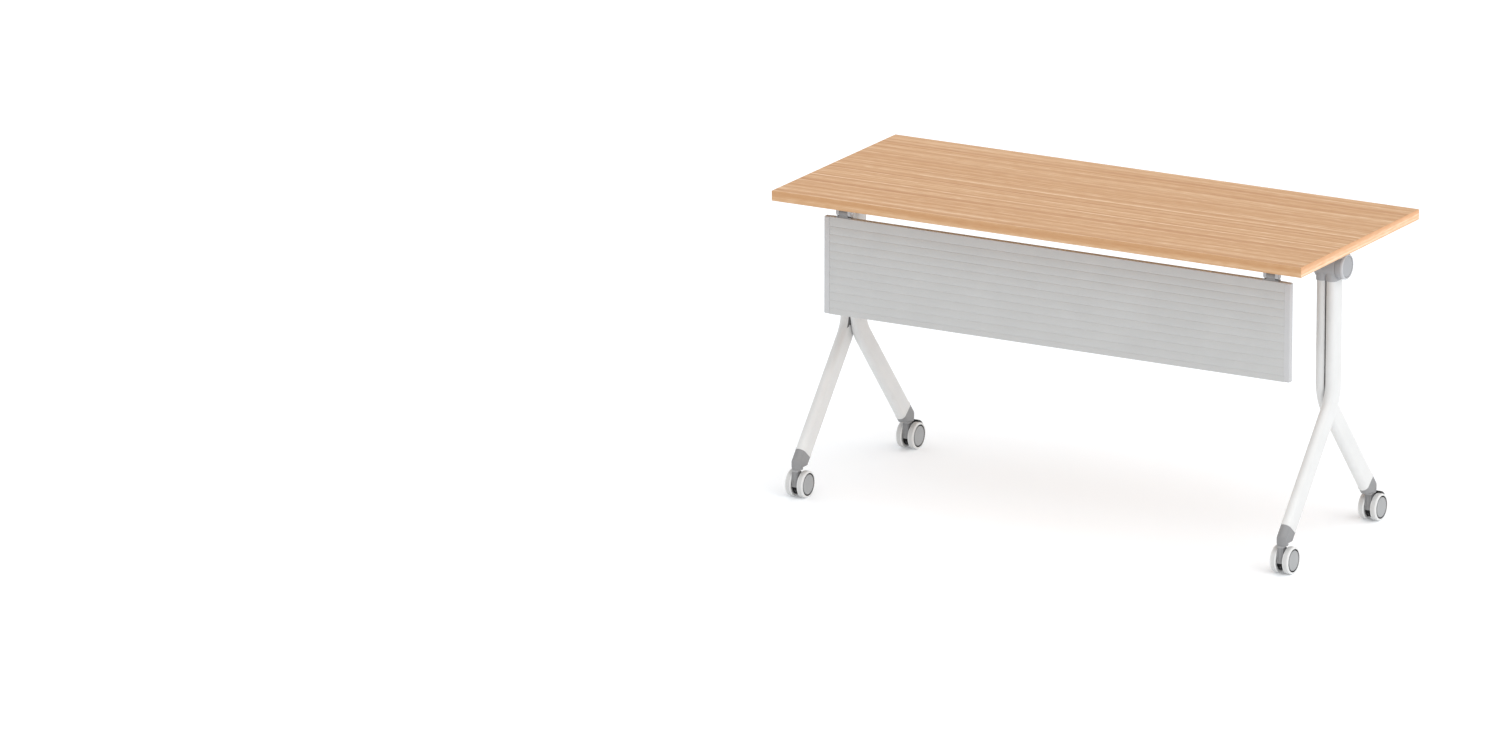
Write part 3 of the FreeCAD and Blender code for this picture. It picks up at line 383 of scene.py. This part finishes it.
def wood(name):
    """Light oak laminate with its grain along the board."""
    material, tree, shader = new_material(name, 0.5, specular=0.35)
    tone, lines, hairs, flecks = grain_tone(tree, True, GRAIN_WEIGHTS)
    colour = ramp(tree, tone, WOOD_STOPS)
    limits = {"From Min": FLECK_LOW, "From Max": FLECK_HIGH, "To Min": 1.0, "To Max": FLECK_DARKEST}
    shade = add(tree, "ShaderNodeMapRange", limits, {"Value": flecks})
    dark = add(tree, "ShaderNodeVectorMath", operation="SCALE")
    tree.links.new(colour, dark.inputs[0])
    tree.links.new(shade.outputs["Result"], dark.inputs["Scale"])
    tree.links.new(dark.outputs["Vector"], shader.inputs["Base Color"])
    tree.links.new(spread(tree, lines, 0.44, 0.56), shader.inputs["Roughness"])
    set_bump(tree, shader, hairs, 0.18, WOOD_HEIGHT)
    return material


def wood_edge(name):
    """Edge band in the board's colour, with its grain along each side of the board; its two ends carry
    painted light, a lighter tint than the long sides.
    """
    material, tree, shader = new_material(name, 0.45, specular=0.4)
    along_x = ramp(tree, grain_tone(tree, True, GRAIN_WEIGHTS)[0], toned(WOOD_STOPS, *LONG_EDGE))
    tone, lines, hairs, _ = grain_tone(tree, False, GRAIN_WEIGHTS)
    # The ends' grain runs along Y, and its lighter tint is painted light
    painted_light_ends = ramp(tree, tone, toned(WOOD_STOPS, *END_EDGE_PAINTED_LIGHT))
    surface = add(tree, "ShaderNodeNewGeometry")
    facing = add(tree, "ShaderNodeSeparateXYZ", links={"Vector": surface.outputs["Normal"]})
    # Faces that look along X are the band's ends, which take the painted light
    end = math_node(tree, "GREATER_THAN", math_node(tree, "ABSOLUTE", facing.outputs["X"], 0.0), PAINTED_LIGHT_FACING)
    mix = add(tree, "ShaderNodeMix", data_type="RGBA")
    tree.links.new(end, mix.inputs["Factor"])
    tree.links.new(along_x, mix.inputs["A"])
    tree.links.new(painted_light_ends, mix.inputs["B"])
    tree.links.new(mix.outputs["Result"], shader.inputs["Base Color"])
    tree.links.new(spread(tree, lines, 0.4, 0.5), shader.inputs["Roughness"])
    set_bump(tree, shader, hairs, 0.12, WOOD_HEIGHT)
    return material


WOOD = wood("oak_laminate")
WOOD_EDGE = wood_edge("oak_edge_band")
WHITE_COAT = moulded("white_powder_coat", srgb(213, 213, 212), srgb(221, 221, 220), 0.38, 900.0, 0.18)
HANGER_GREY = moulded("hanger_plastic", srgb(172, 173, 175), srgb(184, 185, 187), 0.48, 1700.0, 0.3)
CASTING = moulded("grey_casting", srgb(156, 156, 158), srgb(170, 170, 172), 0.42, 1100.0, 0.35)
CAP_GREY = moulded("light_grey_cap", srgb(182, 183, 186), srgb(194, 195, 198), 0.4, 1400.0, 0.2)
CAP_FACE = moulded("grey_cap_face", srgb(153, 154, 157), srgb(164, 165, 168), 0.42, 1400.0, 0.2)
LID_GREY = moulded("light_grey_lid", srgb(156, 156, 157), srgb(168, 168, 169), 0.45, 1600.0, 0.25)
PANEL_GREY = moulded("panel_coat", srgb(186, 186, 185), srgb(191, 191, 190), 0.55, 1300.0, 0.22)
STILE_GREY = moulded("panel_end_plastic", srgb(188, 188, 189), srgb(196, 196, 197), 0.5, 1500.0, 0.22)
GREY_PLASTIC = moulded("grey_plastic", srgb(130, 130, 131), srgb(143, 143, 144), 0.48, 1700.0, 0.3)
HUB_GREY = moulded("hubcap_plastic", srgb(152, 153, 154), srgb(164, 165, 166), 0.42, 1700.0, 0.25)
WHITE_PLASTIC = moulded("white_plastic", srgb(216, 216, 215), srgb(224, 224, 223), 0.4, 1500.0, 0.2)
TREAD = moulded("soft_tread", srgb(198, 198, 197), srgb(209, 209, 208), 0.6, 1200.0, 0.4)
# Painted shade: dark greys put in grooves and recesses and on walls that face a close neighbour, for the
# shadow that falls there
PAINTED_GROOVE_SHADE = moulded("seam_shadow", srgb(62, 62, 63), srgb(72, 72, 73), 0.6, 1500.0, 0.2, specular=0.2)
PAINTED_SIDE_SHADE = moulded("shaded_side", srgb(104, 104, 105), srgb(116, 116, 117), 0.6, 1500.0, 0.2, specular=0.2)
BLACK_PLASTIC = moulded("black_plastic", srgb(34, 34, 35), srgb(46, 46, 47), 0.5, 1500.0, 0.35)
INSERT_BLACK = moulded("matt_black", srgb(14, 14, 15), srgb(22, 22, 23), 0.7, 1500.0, 0.3, specular=0.2)
RUBBER = moulded("black_rubber", srgb(30, 30, 31), srgb(42, 42, 43), 0.75, 900.0, 0.5, specular=0.3)
ZINC = brushed("zinc_plate", srgb(176, 178, 182), srgb(208, 210, 213), 0.32, "Z")
STEEL = brushed("ground_steel", srgb(170, 171, 174), srgb(206, 207, 209), 0.28, "X")


# Mesh helpers

def finish_mesh(name, mesh, materials):
    """A new piece from a finished bmesh, smooth but for its sharp edges."""
    bmesh.ops.recalc_face_normals(mesh, faces=mesh.faces)
    data = bpy.data.meshes.new(name)
    mesh.to_mesh(data)
    mesh.free()
    data.shade_smooth()
    data.set_sharp_from_angle(angle=math.radians(SHARP_ANGLE))
    piece = bpy.data.objects.new(name, data)
    bpy.context.scene.collection.objects.link(piece)
    for material in materials:
        data.materials.append(material)
    return piece


def add_bevel(piece, width, segments=2, weld=False):
    """Softened edges; a solid's own mesh is first welded and its flat faces joined."""
    if weld:
        merge = piece.modifiers.new("merge", "WELD")
        merge.merge_threshold = SOLID_WELD
        flat = piece.modifiers.new("flat_faces", "DECIMATE")
        flat.decimate_type = "DISSOLVE"
        flat.angle_limit = math.radians(FLAT_ANGLE)
    bevel = piece.modifiers.new("soft_edges", "BEVEL")
    bevel.width = width
    bevel.segments = segments
    bevel.limit_method = "ANGLE"
    bevel.angle_limit = math.radians(SHARP_ANGLE)
    bevel.harden_normals = True


def centre(node):
    low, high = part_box(node)
    return (low + high) / 2


def in_metres(points):
    """A profile given in millimetres as one in metres."""
    return [(along * MM, radius * MM, soft * MM, material) for along, radius, soft, material in points]


def soften(points, closed, steps=4):
    """A profile with its corners rounded; each point is (along, radius, rounding, material)."""
    out = []
    count = len(points)
    for index, (along, radius, rounding, material) in enumerate(points):
        inner = closed or 0 < index < count - 1
        if not inner or rounding <= 0:
            out.append((along, radius, material))
            continue
        here = Vector((along, radius))
        before = Vector(points[index - 1][:2]) - here
        after = Vector(points[(index + 1) % count][:2]) - here
        start = here + before.normalized() * min(rounding, 0.45 * before.length)
        end = here + after.normalized() * min(rounding, 0.45 * after.length)
        for step in range(steps + 1):
            t = step / steps
            spot = start * (1 - t) ** 2 + here * 2 * t * (1 - t) + end * t ** 2
            out.append((spot.x, spot.y, material))
    return out


def lathe(name, points, place, axis, materials, turn=1, segments=64, closed=True, wave=None):
    """A turned piece about an axis through place; wave(angle, along, radius) may add to the radius."""
    profile = soften(points, closed)
    out_dir, side, up = {"X": (Vector((1, 0, 0)), Vector((0, 1, 0)), Vector((0, 0, 1))),
                         "Z": (Vector((0, 0, 1)), Vector((1, 0, 0)), Vector((0, 1, 0)))}[axis]
    mesh = bmesh.new()
    rings = []
    for along, radius, material in profile:
        ring = []
        for step in range(segments if radius > 0 else 1):
            angle = 2 * math.pi * step / segments
            reach = radius + (wave(angle, along, radius) if wave and radius > 0 else 0)
            spot = side * (math.cos(angle) * reach) + up * (math.sin(angle) * reach)
            ring.append(mesh.verts.new(place + out_dir * (turn * along) + spot))
        rings.append(ring)
    for index in range(len(rings) if closed else len(rings) - 1):
        first, second = rings[index], rings[(index + 1) % len(rings)]
        for step in range(segments):
            after = (step + 1) % segments
            corners = []
            for ring, spot in ((first, step), (first, after), (second, after), (second, step)):
                vertex = ring[spot % len(ring)]
                if vertex not in corners:
                    corners.append(vertex)
            face = mesh.faces.new(corners)
            face.material_index = profile[index][2]
    return finish_mesh(name, mesh, materials)


def slab(name, outline, low_x, high_x, material, bevel):
    """A flat piece across X: an outline in Y and Z between two side faces that may slope with height."""
    mesh = bmesh.new()
    low = [mesh.verts.new((low_x(z), y, z)) for y, z in outline]
    high = [mesh.verts.new((high_x(z), y, z)) for y, z in outline]
    mesh.faces.new(low[::-1])
    mesh.faces.new(high)
    for index in range(len(outline)):
        after = (index + 1) % len(outline)
        mesh.faces.new((low[index], low[after], high[after], high[index]))
    piece = finish_mesh(name, mesh, [material])
    add_bevel(piece, bevel, 3)
    return piece


def arc(middle_y, middle_z, radius, first, last, steps):
    """Points on a circle in Y and Z, with angles in degrees from +Y towards +Z."""
    points = []
    for step in range(steps + 1):
        angle = math.radians(first + (last - first) * step / steps)
        points.append((middle_y + radius * math.cos(angle), middle_z + radius * math.sin(angle)))
    return points


def paint(material, *nodes):
    for name in nodes:
        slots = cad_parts[name].data.materials
        slots.clear()
        slots.append(material)


# Leg tubes

def oval_section(steps=20):
    """Flat-oval outline as (across, deep) with its outward direction."""
    straight = TUBE_HALF_DEPTH - TUBE_HALF_THICK
    points = []
    for sign in (1, -1):
        for step in range(steps + 1):
            angle = math.pi * step / steps + (0 if sign > 0 else math.pi)
            out = Vector((math.cos(angle), math.sin(angle)))
            points.append((out * TUBE_HALF_THICK + Vector((0, sign * straight)), out))
    return points


def tube_path(way, steps=24):
    """Centre line from top to foot, as (y, z, lean angle, offset of the wall)."""
    bend_top = KNEE_Z + BEND_RADIUS * math.tan(LEAN / 2)
    middle_y = AXIS_Y + way * BEND_RADIUS
    path = [(AXIS_Y, TUBE_TOP, 0.0, 0.0), (AXIS_Y, bend_top + BEND_LEAD, 0.0, 0.0)]
    for step in range(steps + 1):
        angle = LEAN * step / steps
        y = middle_y - way * BEND_RADIUS * math.cos(angle)
        path.append((y, bend_top - BEND_RADIUS * math.sin(angle), angle, 0.0))
    end_y = AXIS_Y + way * (KNEE_Z - TUBE_END) * math.tan(LEAN)
    for back, offset in FOOT_RIM:
        y = end_y - way * math.sin(LEAN) * back * MM
        path.append((y, TUBE_END + math.cos(LEAN) * back * MM, LEAN, offset * MM))
    return path


def make_tube(tag):
    """A bent flat-oval tube whose foot ends in a rolled rim that laps over the socket."""
    node = f"leg_tube_{tag}"
    way = -1 if tag.startswith("front") else 1
    middle_x = centre(node).x
    section = oval_section()
    mesh = bmesh.new()
    rings = []
    for y, z, angle, offset in tube_path(way):
        across = Vector((1, 0, 0))
        deep = Vector((0, math.cos(angle), way * math.sin(angle)))
        spot = Vector((middle_x, y, z))
        ring = []
        for point, out in section:
            reach = point + out * offset
            ring.append(mesh.verts.new(spot + across * reach.x + deep * reach.y))
        rings.append(ring)
    for first, second in zip(rings, rings[1:]):
        for step in range(len(section)):
            after = (step + 1) % len(section)
            mesh.faces.new((first[step], first[after], second[after], second[step]))
    mesh.faces.new(rings[0])
    mesh.faces.new(rings[-1])
    bmesh.ops.remove_doubles(mesh, verts=mesh.verts, dist=1e-7)
    piece = finish_mesh(f"tube_{tag}", mesh, [WHITE_COAT, PAINTED_SIDE_SHADE])
    # Walls that face the leg's other tube above the knee get painted shade, dark grey for the shadow between
    # the tubes
    towards = way * (1 if tag.endswith("right") else -1)
    for face in piece.data.polygons:
        in_painted_shade = face.normal.x * towards > PAINTED_SHADE_FACING and face.center.z > KNEE_Z
        face.material_index = 1 if in_painted_shade else 0
    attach(piece, "frame")
    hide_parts(node)


# Casters

def make_wheel(side, tag):
    """A white wheel with rounded shoulders and a softer tread band between two fine grooves."""
    node = f"wheel_{side}_{tag}"
    low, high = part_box(node)
    middle = (low + high) / 2
    turn = (1 if tag.endswith("right") else -1) * (1 if side == "outer" else -1)
    start = low.x if turn > 0 else high.x
    place = Vector((start, middle.y, middle.z))
    # The third paint is painted shade in the hub recess
    paints = [WHITE_PLASTIC, TREAD, PAINTED_GROOVE_SHADE]
    wheel = lathe(f"turned_{node}", in_metres(WHEEL_PROFILE), place, "X", paints, turn, 80)
    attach(wheel, node)
    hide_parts(node)
    cap_node = f"hubcap_{side}_{tag}"
    cap_points = in_metres(HUBCAP_PROFILE)
    cap = lathe(f"turned_{cap_node}", cap_points, place, "X", [HUB_GREY], turn, 72, closed=False)
    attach(cap, node)
    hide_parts(cap_node)


def housing_outline(stem_y, inset, braked):
    """Side outline of the housing between the wheels, with room for the insert and the pedal's arm."""
    axle_y, axle_z = stem_y + TRAIL, WHEEL_RADIUS
    radius = BODY_RADIUS - inset
    front_y = stem_y - BODY_LEAD + inset
    meet = math.degrees(math.acos((front_y - axle_y) / radius))
    recess_first, recess_last = INSERT_FIRST - INSERT_GAP, INSERT_LAST + INSERT_GAP
    points = [(front_y, LID_BASE)]
    points += arc(axle_y, axle_z, radius, meet, recess_first, 8)
    points += arc(axle_y, axle_z, RECESS_RADIUS, recess_first, recess_last, 8)
    points += arc(axle_y, axle_z, radius, recess_last, ARM_ROOM_FIRST if braked else BODY_LAST, 30)
    if braked:
        points += arc(axle_y, axle_z, ARM_FLOOR_RADIUS, ARM_FLOOR_FIRST, ARM_FLOOR_LAST, 8)
        points += arc(axle_y, axle_z, radius, ARM_ROOM_LAST, BODY_LAST, 2)
    for behind, height in HOUSING_BACK:
        points.append((stem_y + behind * MM, height * MM))
    points.append((stem_y + LID_BACK, LID_BASE))
    return points


def make_housing(tag):
    """Caster housing in three leaves with fine slits, a lid round the stem and a black front insert."""
    body = f"caster_{tag}"
    node = f"caster_body_{tag}"
    axle = centre(f"caster_axle_{tag}")
    stem_y = axle.y - TRAIL
    middle_x = axle.x
    braked = tag.startswith("rear")

    def slit(z):
        share = (z - SLIT_LOW_Z) / (SLIT_HIGH_Z - SLIT_LOW_Z)
        return SLIT_LOW_HALF + (SLIT_HIGH_HALF - SLIT_LOW_HALF) * share

    core = slab(f"housing_core_{tag}", housing_outline(stem_y, CORE_INSET, braked),
                lambda z: middle_x - slit(z), lambda z: middle_x + slit(z), GREY_PLASTIC, CORE_EDGE)
    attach(core, body)
    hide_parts(node)
    for name, sign in (("west", -1), ("east", 1)):
        def inner(z, sign=sign):
            return middle_x + sign * (slit(z) + SLIT_WIDTH)

        def outer(z, sign=sign):
            return middle_x + sign * BODY_HALF

        cheek = slab(f"housing_{name}_{tag}", housing_outline(stem_y, 0.0, braked),
                     inner, outer, GREY_PLASTIC, CHEEK_EDGE)
        # The cheek's side towards its wheel gets painted shade, dark grey for the shadow in the gap beside
        # the wheel
        cheek.data.materials.append(PAINTED_SIDE_SHADE)
        for face in cheek.data.polygons:
            face.material_index = 1 if face.normal.x * sign > PAINTED_SHADE_FACING else 0
        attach(cheek, body)
    make_lid(tag, body, Vector((middle_x, stem_y, 0)))
    make_insert(tag, body, axle)


def make_lid(tag, body, stem):
    """The housing's top: square in front, round behind and bored for the stem."""
    steps = 32
    outer, inner = [], []
    for step in range(2 * steps):
        angle = math.pi * step / steps
        across, along = math.cos(angle), math.sin(angle)
        inner.append((STEM_BORE * across, STEM_BORE * along))
        if along >= 0:
            outer.append((LID_RADIUS * across, LID_RADIUS * along))
        else:
            stretch = 1 / max(abs(across) / LID_RADIUS, abs(along) / LID_LEAD)
            outer.append((stretch * across, stretch * along))
    mesh = bmesh.new()
    rings = []
    for outline, height in ((inner, LID_BASE), (outer, LID_BASE), (outer, BODY_TOP), (inner, BODY_TOP)):
        rings.append([mesh.verts.new((stem.x + x, stem.y + y, height)) for x, y in outline])
    for index, first in enumerate(rings):
        second = rings[(index + 1) % len(rings)]
        for step in range(2 * steps):
            after = (step + 1) % (2 * steps)
            mesh.faces.new((first[step], first[after], second[after], second[step]))
    lid = finish_mesh(f"housing_lid_{tag}", mesh, [LID_GREY])
    add_bevel(lid, LID_EDGE)
    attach(lid, body)


def make_insert(tag, body, axle):
    """Black insert in the housing's front recess, with a raised rib down its middle."""
    outline = arc(axle.y, axle.z, INSERT_OUTER, INSERT_FIRST, INSERT_LAST, 10)
    outline += arc(axle.y, axle.z, INSERT_INNER, INSERT_LAST, INSERT_FIRST, 8)
    ridge = arc(axle.y, axle.z, INSERT_RIB_OUTER, INSERT_RIB_FIRST, INSERT_RIB_LAST, 8)
    ridge += arc(axle.y, axle.z, INSERT_RIB_INNER, INSERT_RIB_LAST, INSERT_RIB_FIRST, 8)
    for name, shape, half, paint_on in (("insert", outline, INSERT_HALF, INSERT_BLACK),
                                        ("insert_rib", ridge, INSERT_RIB_HALF, BLACK_PLASTIC)):
        piece = slab(f"{name}_{tag}", shape, lambda z, half=half: axle.x - half,
                     lambda z, half=half: axle.x + half, paint_on, INSERT_EDGE)
        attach(piece, body)


def make_pedal(tag):
    """Brake pedal: a ribbed hood over the back of the wheels, its arm and the ring on the axle."""
    body = f"brake_{tag}"
    axle = centre(f"caster_axle_{tag}")
    x = axle.x
    outline = []
    for step in range(HOOD_STEPS + 1):
        angle = HOOD_FIRST + (HOOD_LAST - HOOD_FIRST) * step / HOOD_STEPS
        rib = 0.0
        if RIBBED_FIRST < angle < RIBBED_LAST:
            turns = (angle - HOOD_FIRST) / HOOD_RIB_PITCH
            rib = max(0.0, -math.cos(2 * math.pi * turns))
        outline += arc(axle.y, axle.z, HOOD_OUTER + HOOD_RIB * rib, angle, angle, 1)[:1]
    outline += arc(axle.y, axle.z, HOOD_INNER, HOOD_LAST, HOOD_FIRST, 24)
    hood = slab(f"pedal_hood_{tag}", outline, lambda z: x - HOOD_HALF, lambda z: x + HOOD_HALF,
                BLACK_PLASTIC, HOOD_EDGE)
    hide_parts(f"brake_pedal_{tag}")
    middle = math.radians(ARM_ANGLE)
    along = Vector((0, math.cos(middle), math.sin(middle)))
    wide = Vector((0, -math.sin(middle), math.cos(middle)))
    corners = [axle + along * (reach * MM) + wide * (half * MM) for reach, half in ARM_CORNERS]
    arm = slab(f"pedal_arm_{tag}", [(spot.y, spot.z) for spot in corners],
               lambda z: x - ARM_HALF, lambda z: x + ARM_HALF, BLACK_PLASTIC, ARM_EDGE)
    ring = lathe(f"pedal_ring_{tag}", in_metres(PEDAL_RING_PROFILE), axle, "X", [BLACK_PLASTIC])
    for piece in (hood, arm, ring):
        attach(piece, body)


# Ear caps, knobs and screws

def make_ear_caps():
    """Round end caps: a rolled outer ring around a sunk, slightly hollow face."""
    low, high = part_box("ear_caps")
    middle = (low + high) / 2
    # The second paint is painted shade in the groove round the face
    paints = [CAP_GREY, PAINTED_GROOVE_SHADE, CAP_FACE]
    for name, turn, x in (("left", -1, low.x + EAR_CAP_THICK), ("right", 1, high.x - EAR_CAP_THICK)):
        place = Vector((x, middle.y, middle.z))
        cap = lathe(f"ear_cap_{name}", in_metres(EAR_CAP_PROFILE), place, "X", paints, turn, 96, closed=False)
        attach(cap, "top")
        if turn > 0:
            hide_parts("ear_caps")


def make_knob(side):
    """Fluted knob on the lock pin's inner end."""
    node = f"lock_knob_{side}"
    low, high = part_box(node)
    middle = (low + high) / 2
    turn = 1 if side == "right" else -1
    start = low.x if turn > 0 else high.x
    place = Vector((start, middle.y, middle.z))

    def flutes(angle, along, radius):
        on_grip = radius > GRIP_RADIUS and along < GRIP_LENGTH
        return -FLUTE_DEPTH * (0.5 + 0.5 * math.cos(FLUTE_COUNT * angle)) if on_grip else 0.0

    knob = lathe(f"fluted_{node}", in_metres(KNOB_PROFILE), place, "X", [BLACK_PLASTIC], turn, 112,
                 closed=False, wave=flutes)
    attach(knob, f"lock_{side}")
    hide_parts(node)


def make_screw_heads(node, columns):
    """Domed screw heads with a six-lobed recess, two in each column."""
    low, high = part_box(node)

    def lobes(angle, along, radius):
        in_recess = radius < RECESS_MOUTH and along < RECESS_DEPTH
        return LOBE_HEIGHT * math.cos(LOBE_COUNT * angle) if in_recess else 0.0

    number = 0
    for x in columns:
        for y in (low.y + SCREW_RADIUS, high.y - SCREW_RADIUS):
            head = lathe(f"{node}_head_{number}", in_metres(SCREW_PROFILE), Vector((x, y, low.z)), "Z",
                         [ZINC], segments=48, closed=False, wave=lobes)
            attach(head, "top")
            if number == 0:
                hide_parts(node)
            number += 1


def make_screws():
    for node in ("bracket_screws", "hanger_screws"):
        low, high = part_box(node)
        columns = [low.x + SCREW_RADIUS, high.x - SCREW_RADIUS]
        if node == "bracket_screws":
            columns += [columns[0] + SCREW_SPACING, columns[1] - SCREW_SPACING]
        make_screw_heads(node, columns)


# Front panel

def make_panel():
    """The panel's section: shallow rounded grooves across its front and softened edges."""
    low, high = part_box("panel_sheet")
    outline = [(high.y, low.z), (high.y, high.z), (low.y, high.z)]
    for step in range(GROOVE_COUNT):
        middle_z = high.z - GROOVE_FIRST - step * GROOVE_PITCH
        for part in range(-GROOVE_STEPS, GROOVE_STEPS + 1):
            share = part / GROOVE_STEPS
            depth = GROOVE_DEPTH * (0.5 + 0.5 * math.cos(math.pi * share))
            outline.append((low.y + depth, middle_z - GROOVE_HALF * share))
    outline.append((low.y, low.z))
    sheet = slab("ribbed_sheet", outline, lambda z: low.x, lambda z: high.x, PANEL_GREY, PANEL_EDGE)
    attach(sheet, "panel")
    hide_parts("panel_sheet")


# Parts that keep their solids

def dress_solids():
    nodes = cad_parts
    paint(WOOD, "tabletop_board")
    paint(WOOD_EDGE, "edge_band")
    for side in ("left", "right"):
        paint(CASTING, f"pivot_head_{side}", f"top_bracket_{side}")
        paint(HANGER_GREY, f"panel_hanger_{side}")
        paint(STEEL, f"lock_pin_{side}")
        for name in (f"pivot_head_{side}", f"top_bracket_{side}", f"panel_hanger_{side}"):
            add_bevel(nodes[name], SOLID_EDGE, weld=True)
    paint(STILE_GREY, "panel_end_caps")
    add_bevel(nodes["panel_end_caps"], PANEL_EDGE, weld=True)
    paint(GREY_PLASTIC, "panel_clips")
    paint(STEEL, "panel_hinge_pins", "pivot_shafts")
    paint(WHITE_PLASTIC, "pivot_bushes")
    paint(RUBBER, "stop_buffers")
    paint(WHITE_COAT, "crossbeam")
    paint(ZINC, "caster_stems")
    for tag in CORNERS:
        paint(GREY_PLASTIC, f"leg_socket_{tag}")
        paint(STEEL, f"caster_axle_{tag}")


# Studio

def make_floor():
    mesh = bmesh.new()
    bmesh.ops.create_grid(mesh, x_segments=2, y_segments=2, size=FLOOR_HALF)
    dark, light = srgb(246, 249, 252), srgb(248, 251, 254)
    floor_paint = moulded("pale_floor", dark, light, 0.8, 60.0, 0.0, specular=0.1)
    shader = floor_paint.node_tree.nodes["Principled BSDF"]
    shader.inputs["Emission Color"].default_value = (1.0, 1.0, 1.0, 1.0)
    shader.inputs["Emission Strength"].default_value = FLOOR_GLOW
    floor = finish_mesh("floor", mesh, [floor_paint])


def aim(thing, place, target):
    thing.location = place
    thing.rotation_euler = (target - place).to_track_quat("-Z", "Y").to_euler()


def sun_light(name, place, power, angle):
    """An even soft light from the direction of place."""
    lamp = bpy.data.lights.new(name, "SUN")
    lamp.energy = power
    lamp.angle = math.radians(angle)
    light = bpy.data.objects.new(name, lamp)
    bpy.context.scene.collection.objects.link(light)
    aim(light, Vector(place), Vector((0, 0, 0)))


def make_studio():
    scene = bpy.context.scene
    scene.view_settings.view_transform = "Standard"
    world = bpy.data.worlds.new("studio")
    scene.world = world
    world.use_nodes = True
    sky = world.node_tree.nodes["Background"]
    sky.inputs["Color"].default_value = (1.0, 1.0, 1.0, 1.0)
    sky.inputs["Strength"].default_value = SKY_STRENGTH
    sun_light("key", *KEY_LIGHT)
    sun_light("side", *SIDE_LIGHT)


def make_camera():
    """A long lens from the front right, a little above the top, with the desk right of the middle."""
    azimuth, elevation = math.radians(CAMERA_AZIMUTH), math.radians(CAMERA_ELEVATION)
    level = Vector((-math.sin(azimuth), math.cos(azimuth), 0))
    ahead = level * math.cos(elevation) - Vector((0, 0, math.sin(elevation)))
    right = Vector((math.cos(azimuth), math.sin(azimuth), 0))
    up = right.cross(ahead)
    target = Vector(DESK_MIDDLE) - right * LOOK_LEFT - up * LOOK_DOWN
    data = bpy.data.cameras.new("camera")
    data.lens = CAMERA_LENS
    data.sensor_width = CAMERA_SENSOR
    data.clip_start = CAMERA_NEAR
    data.clip_end = CAMERA_FAR
    camera = bpy.data.objects.new("camera", data)
    bpy.context.scene.collection.objects.link(camera)
    aim(camera, target - ahead * CAMERA_DISTANCE, target)
    bpy.context.scene.camera = camera


dress_solids()
for corner in CORNERS:
    make_tube(corner)
    make_housing(corner)
    for wheel_side in ("outer", "inner"):
        make_wheel(wheel_side, corner)
    if corner.startswith("rear"):
        make_pedal(corner)
make_panel()
make_ear_caps()
for end in ("left", "right"):
    make_knob(end)
make_screws()
make_floor()
make_studio()
make_camera()
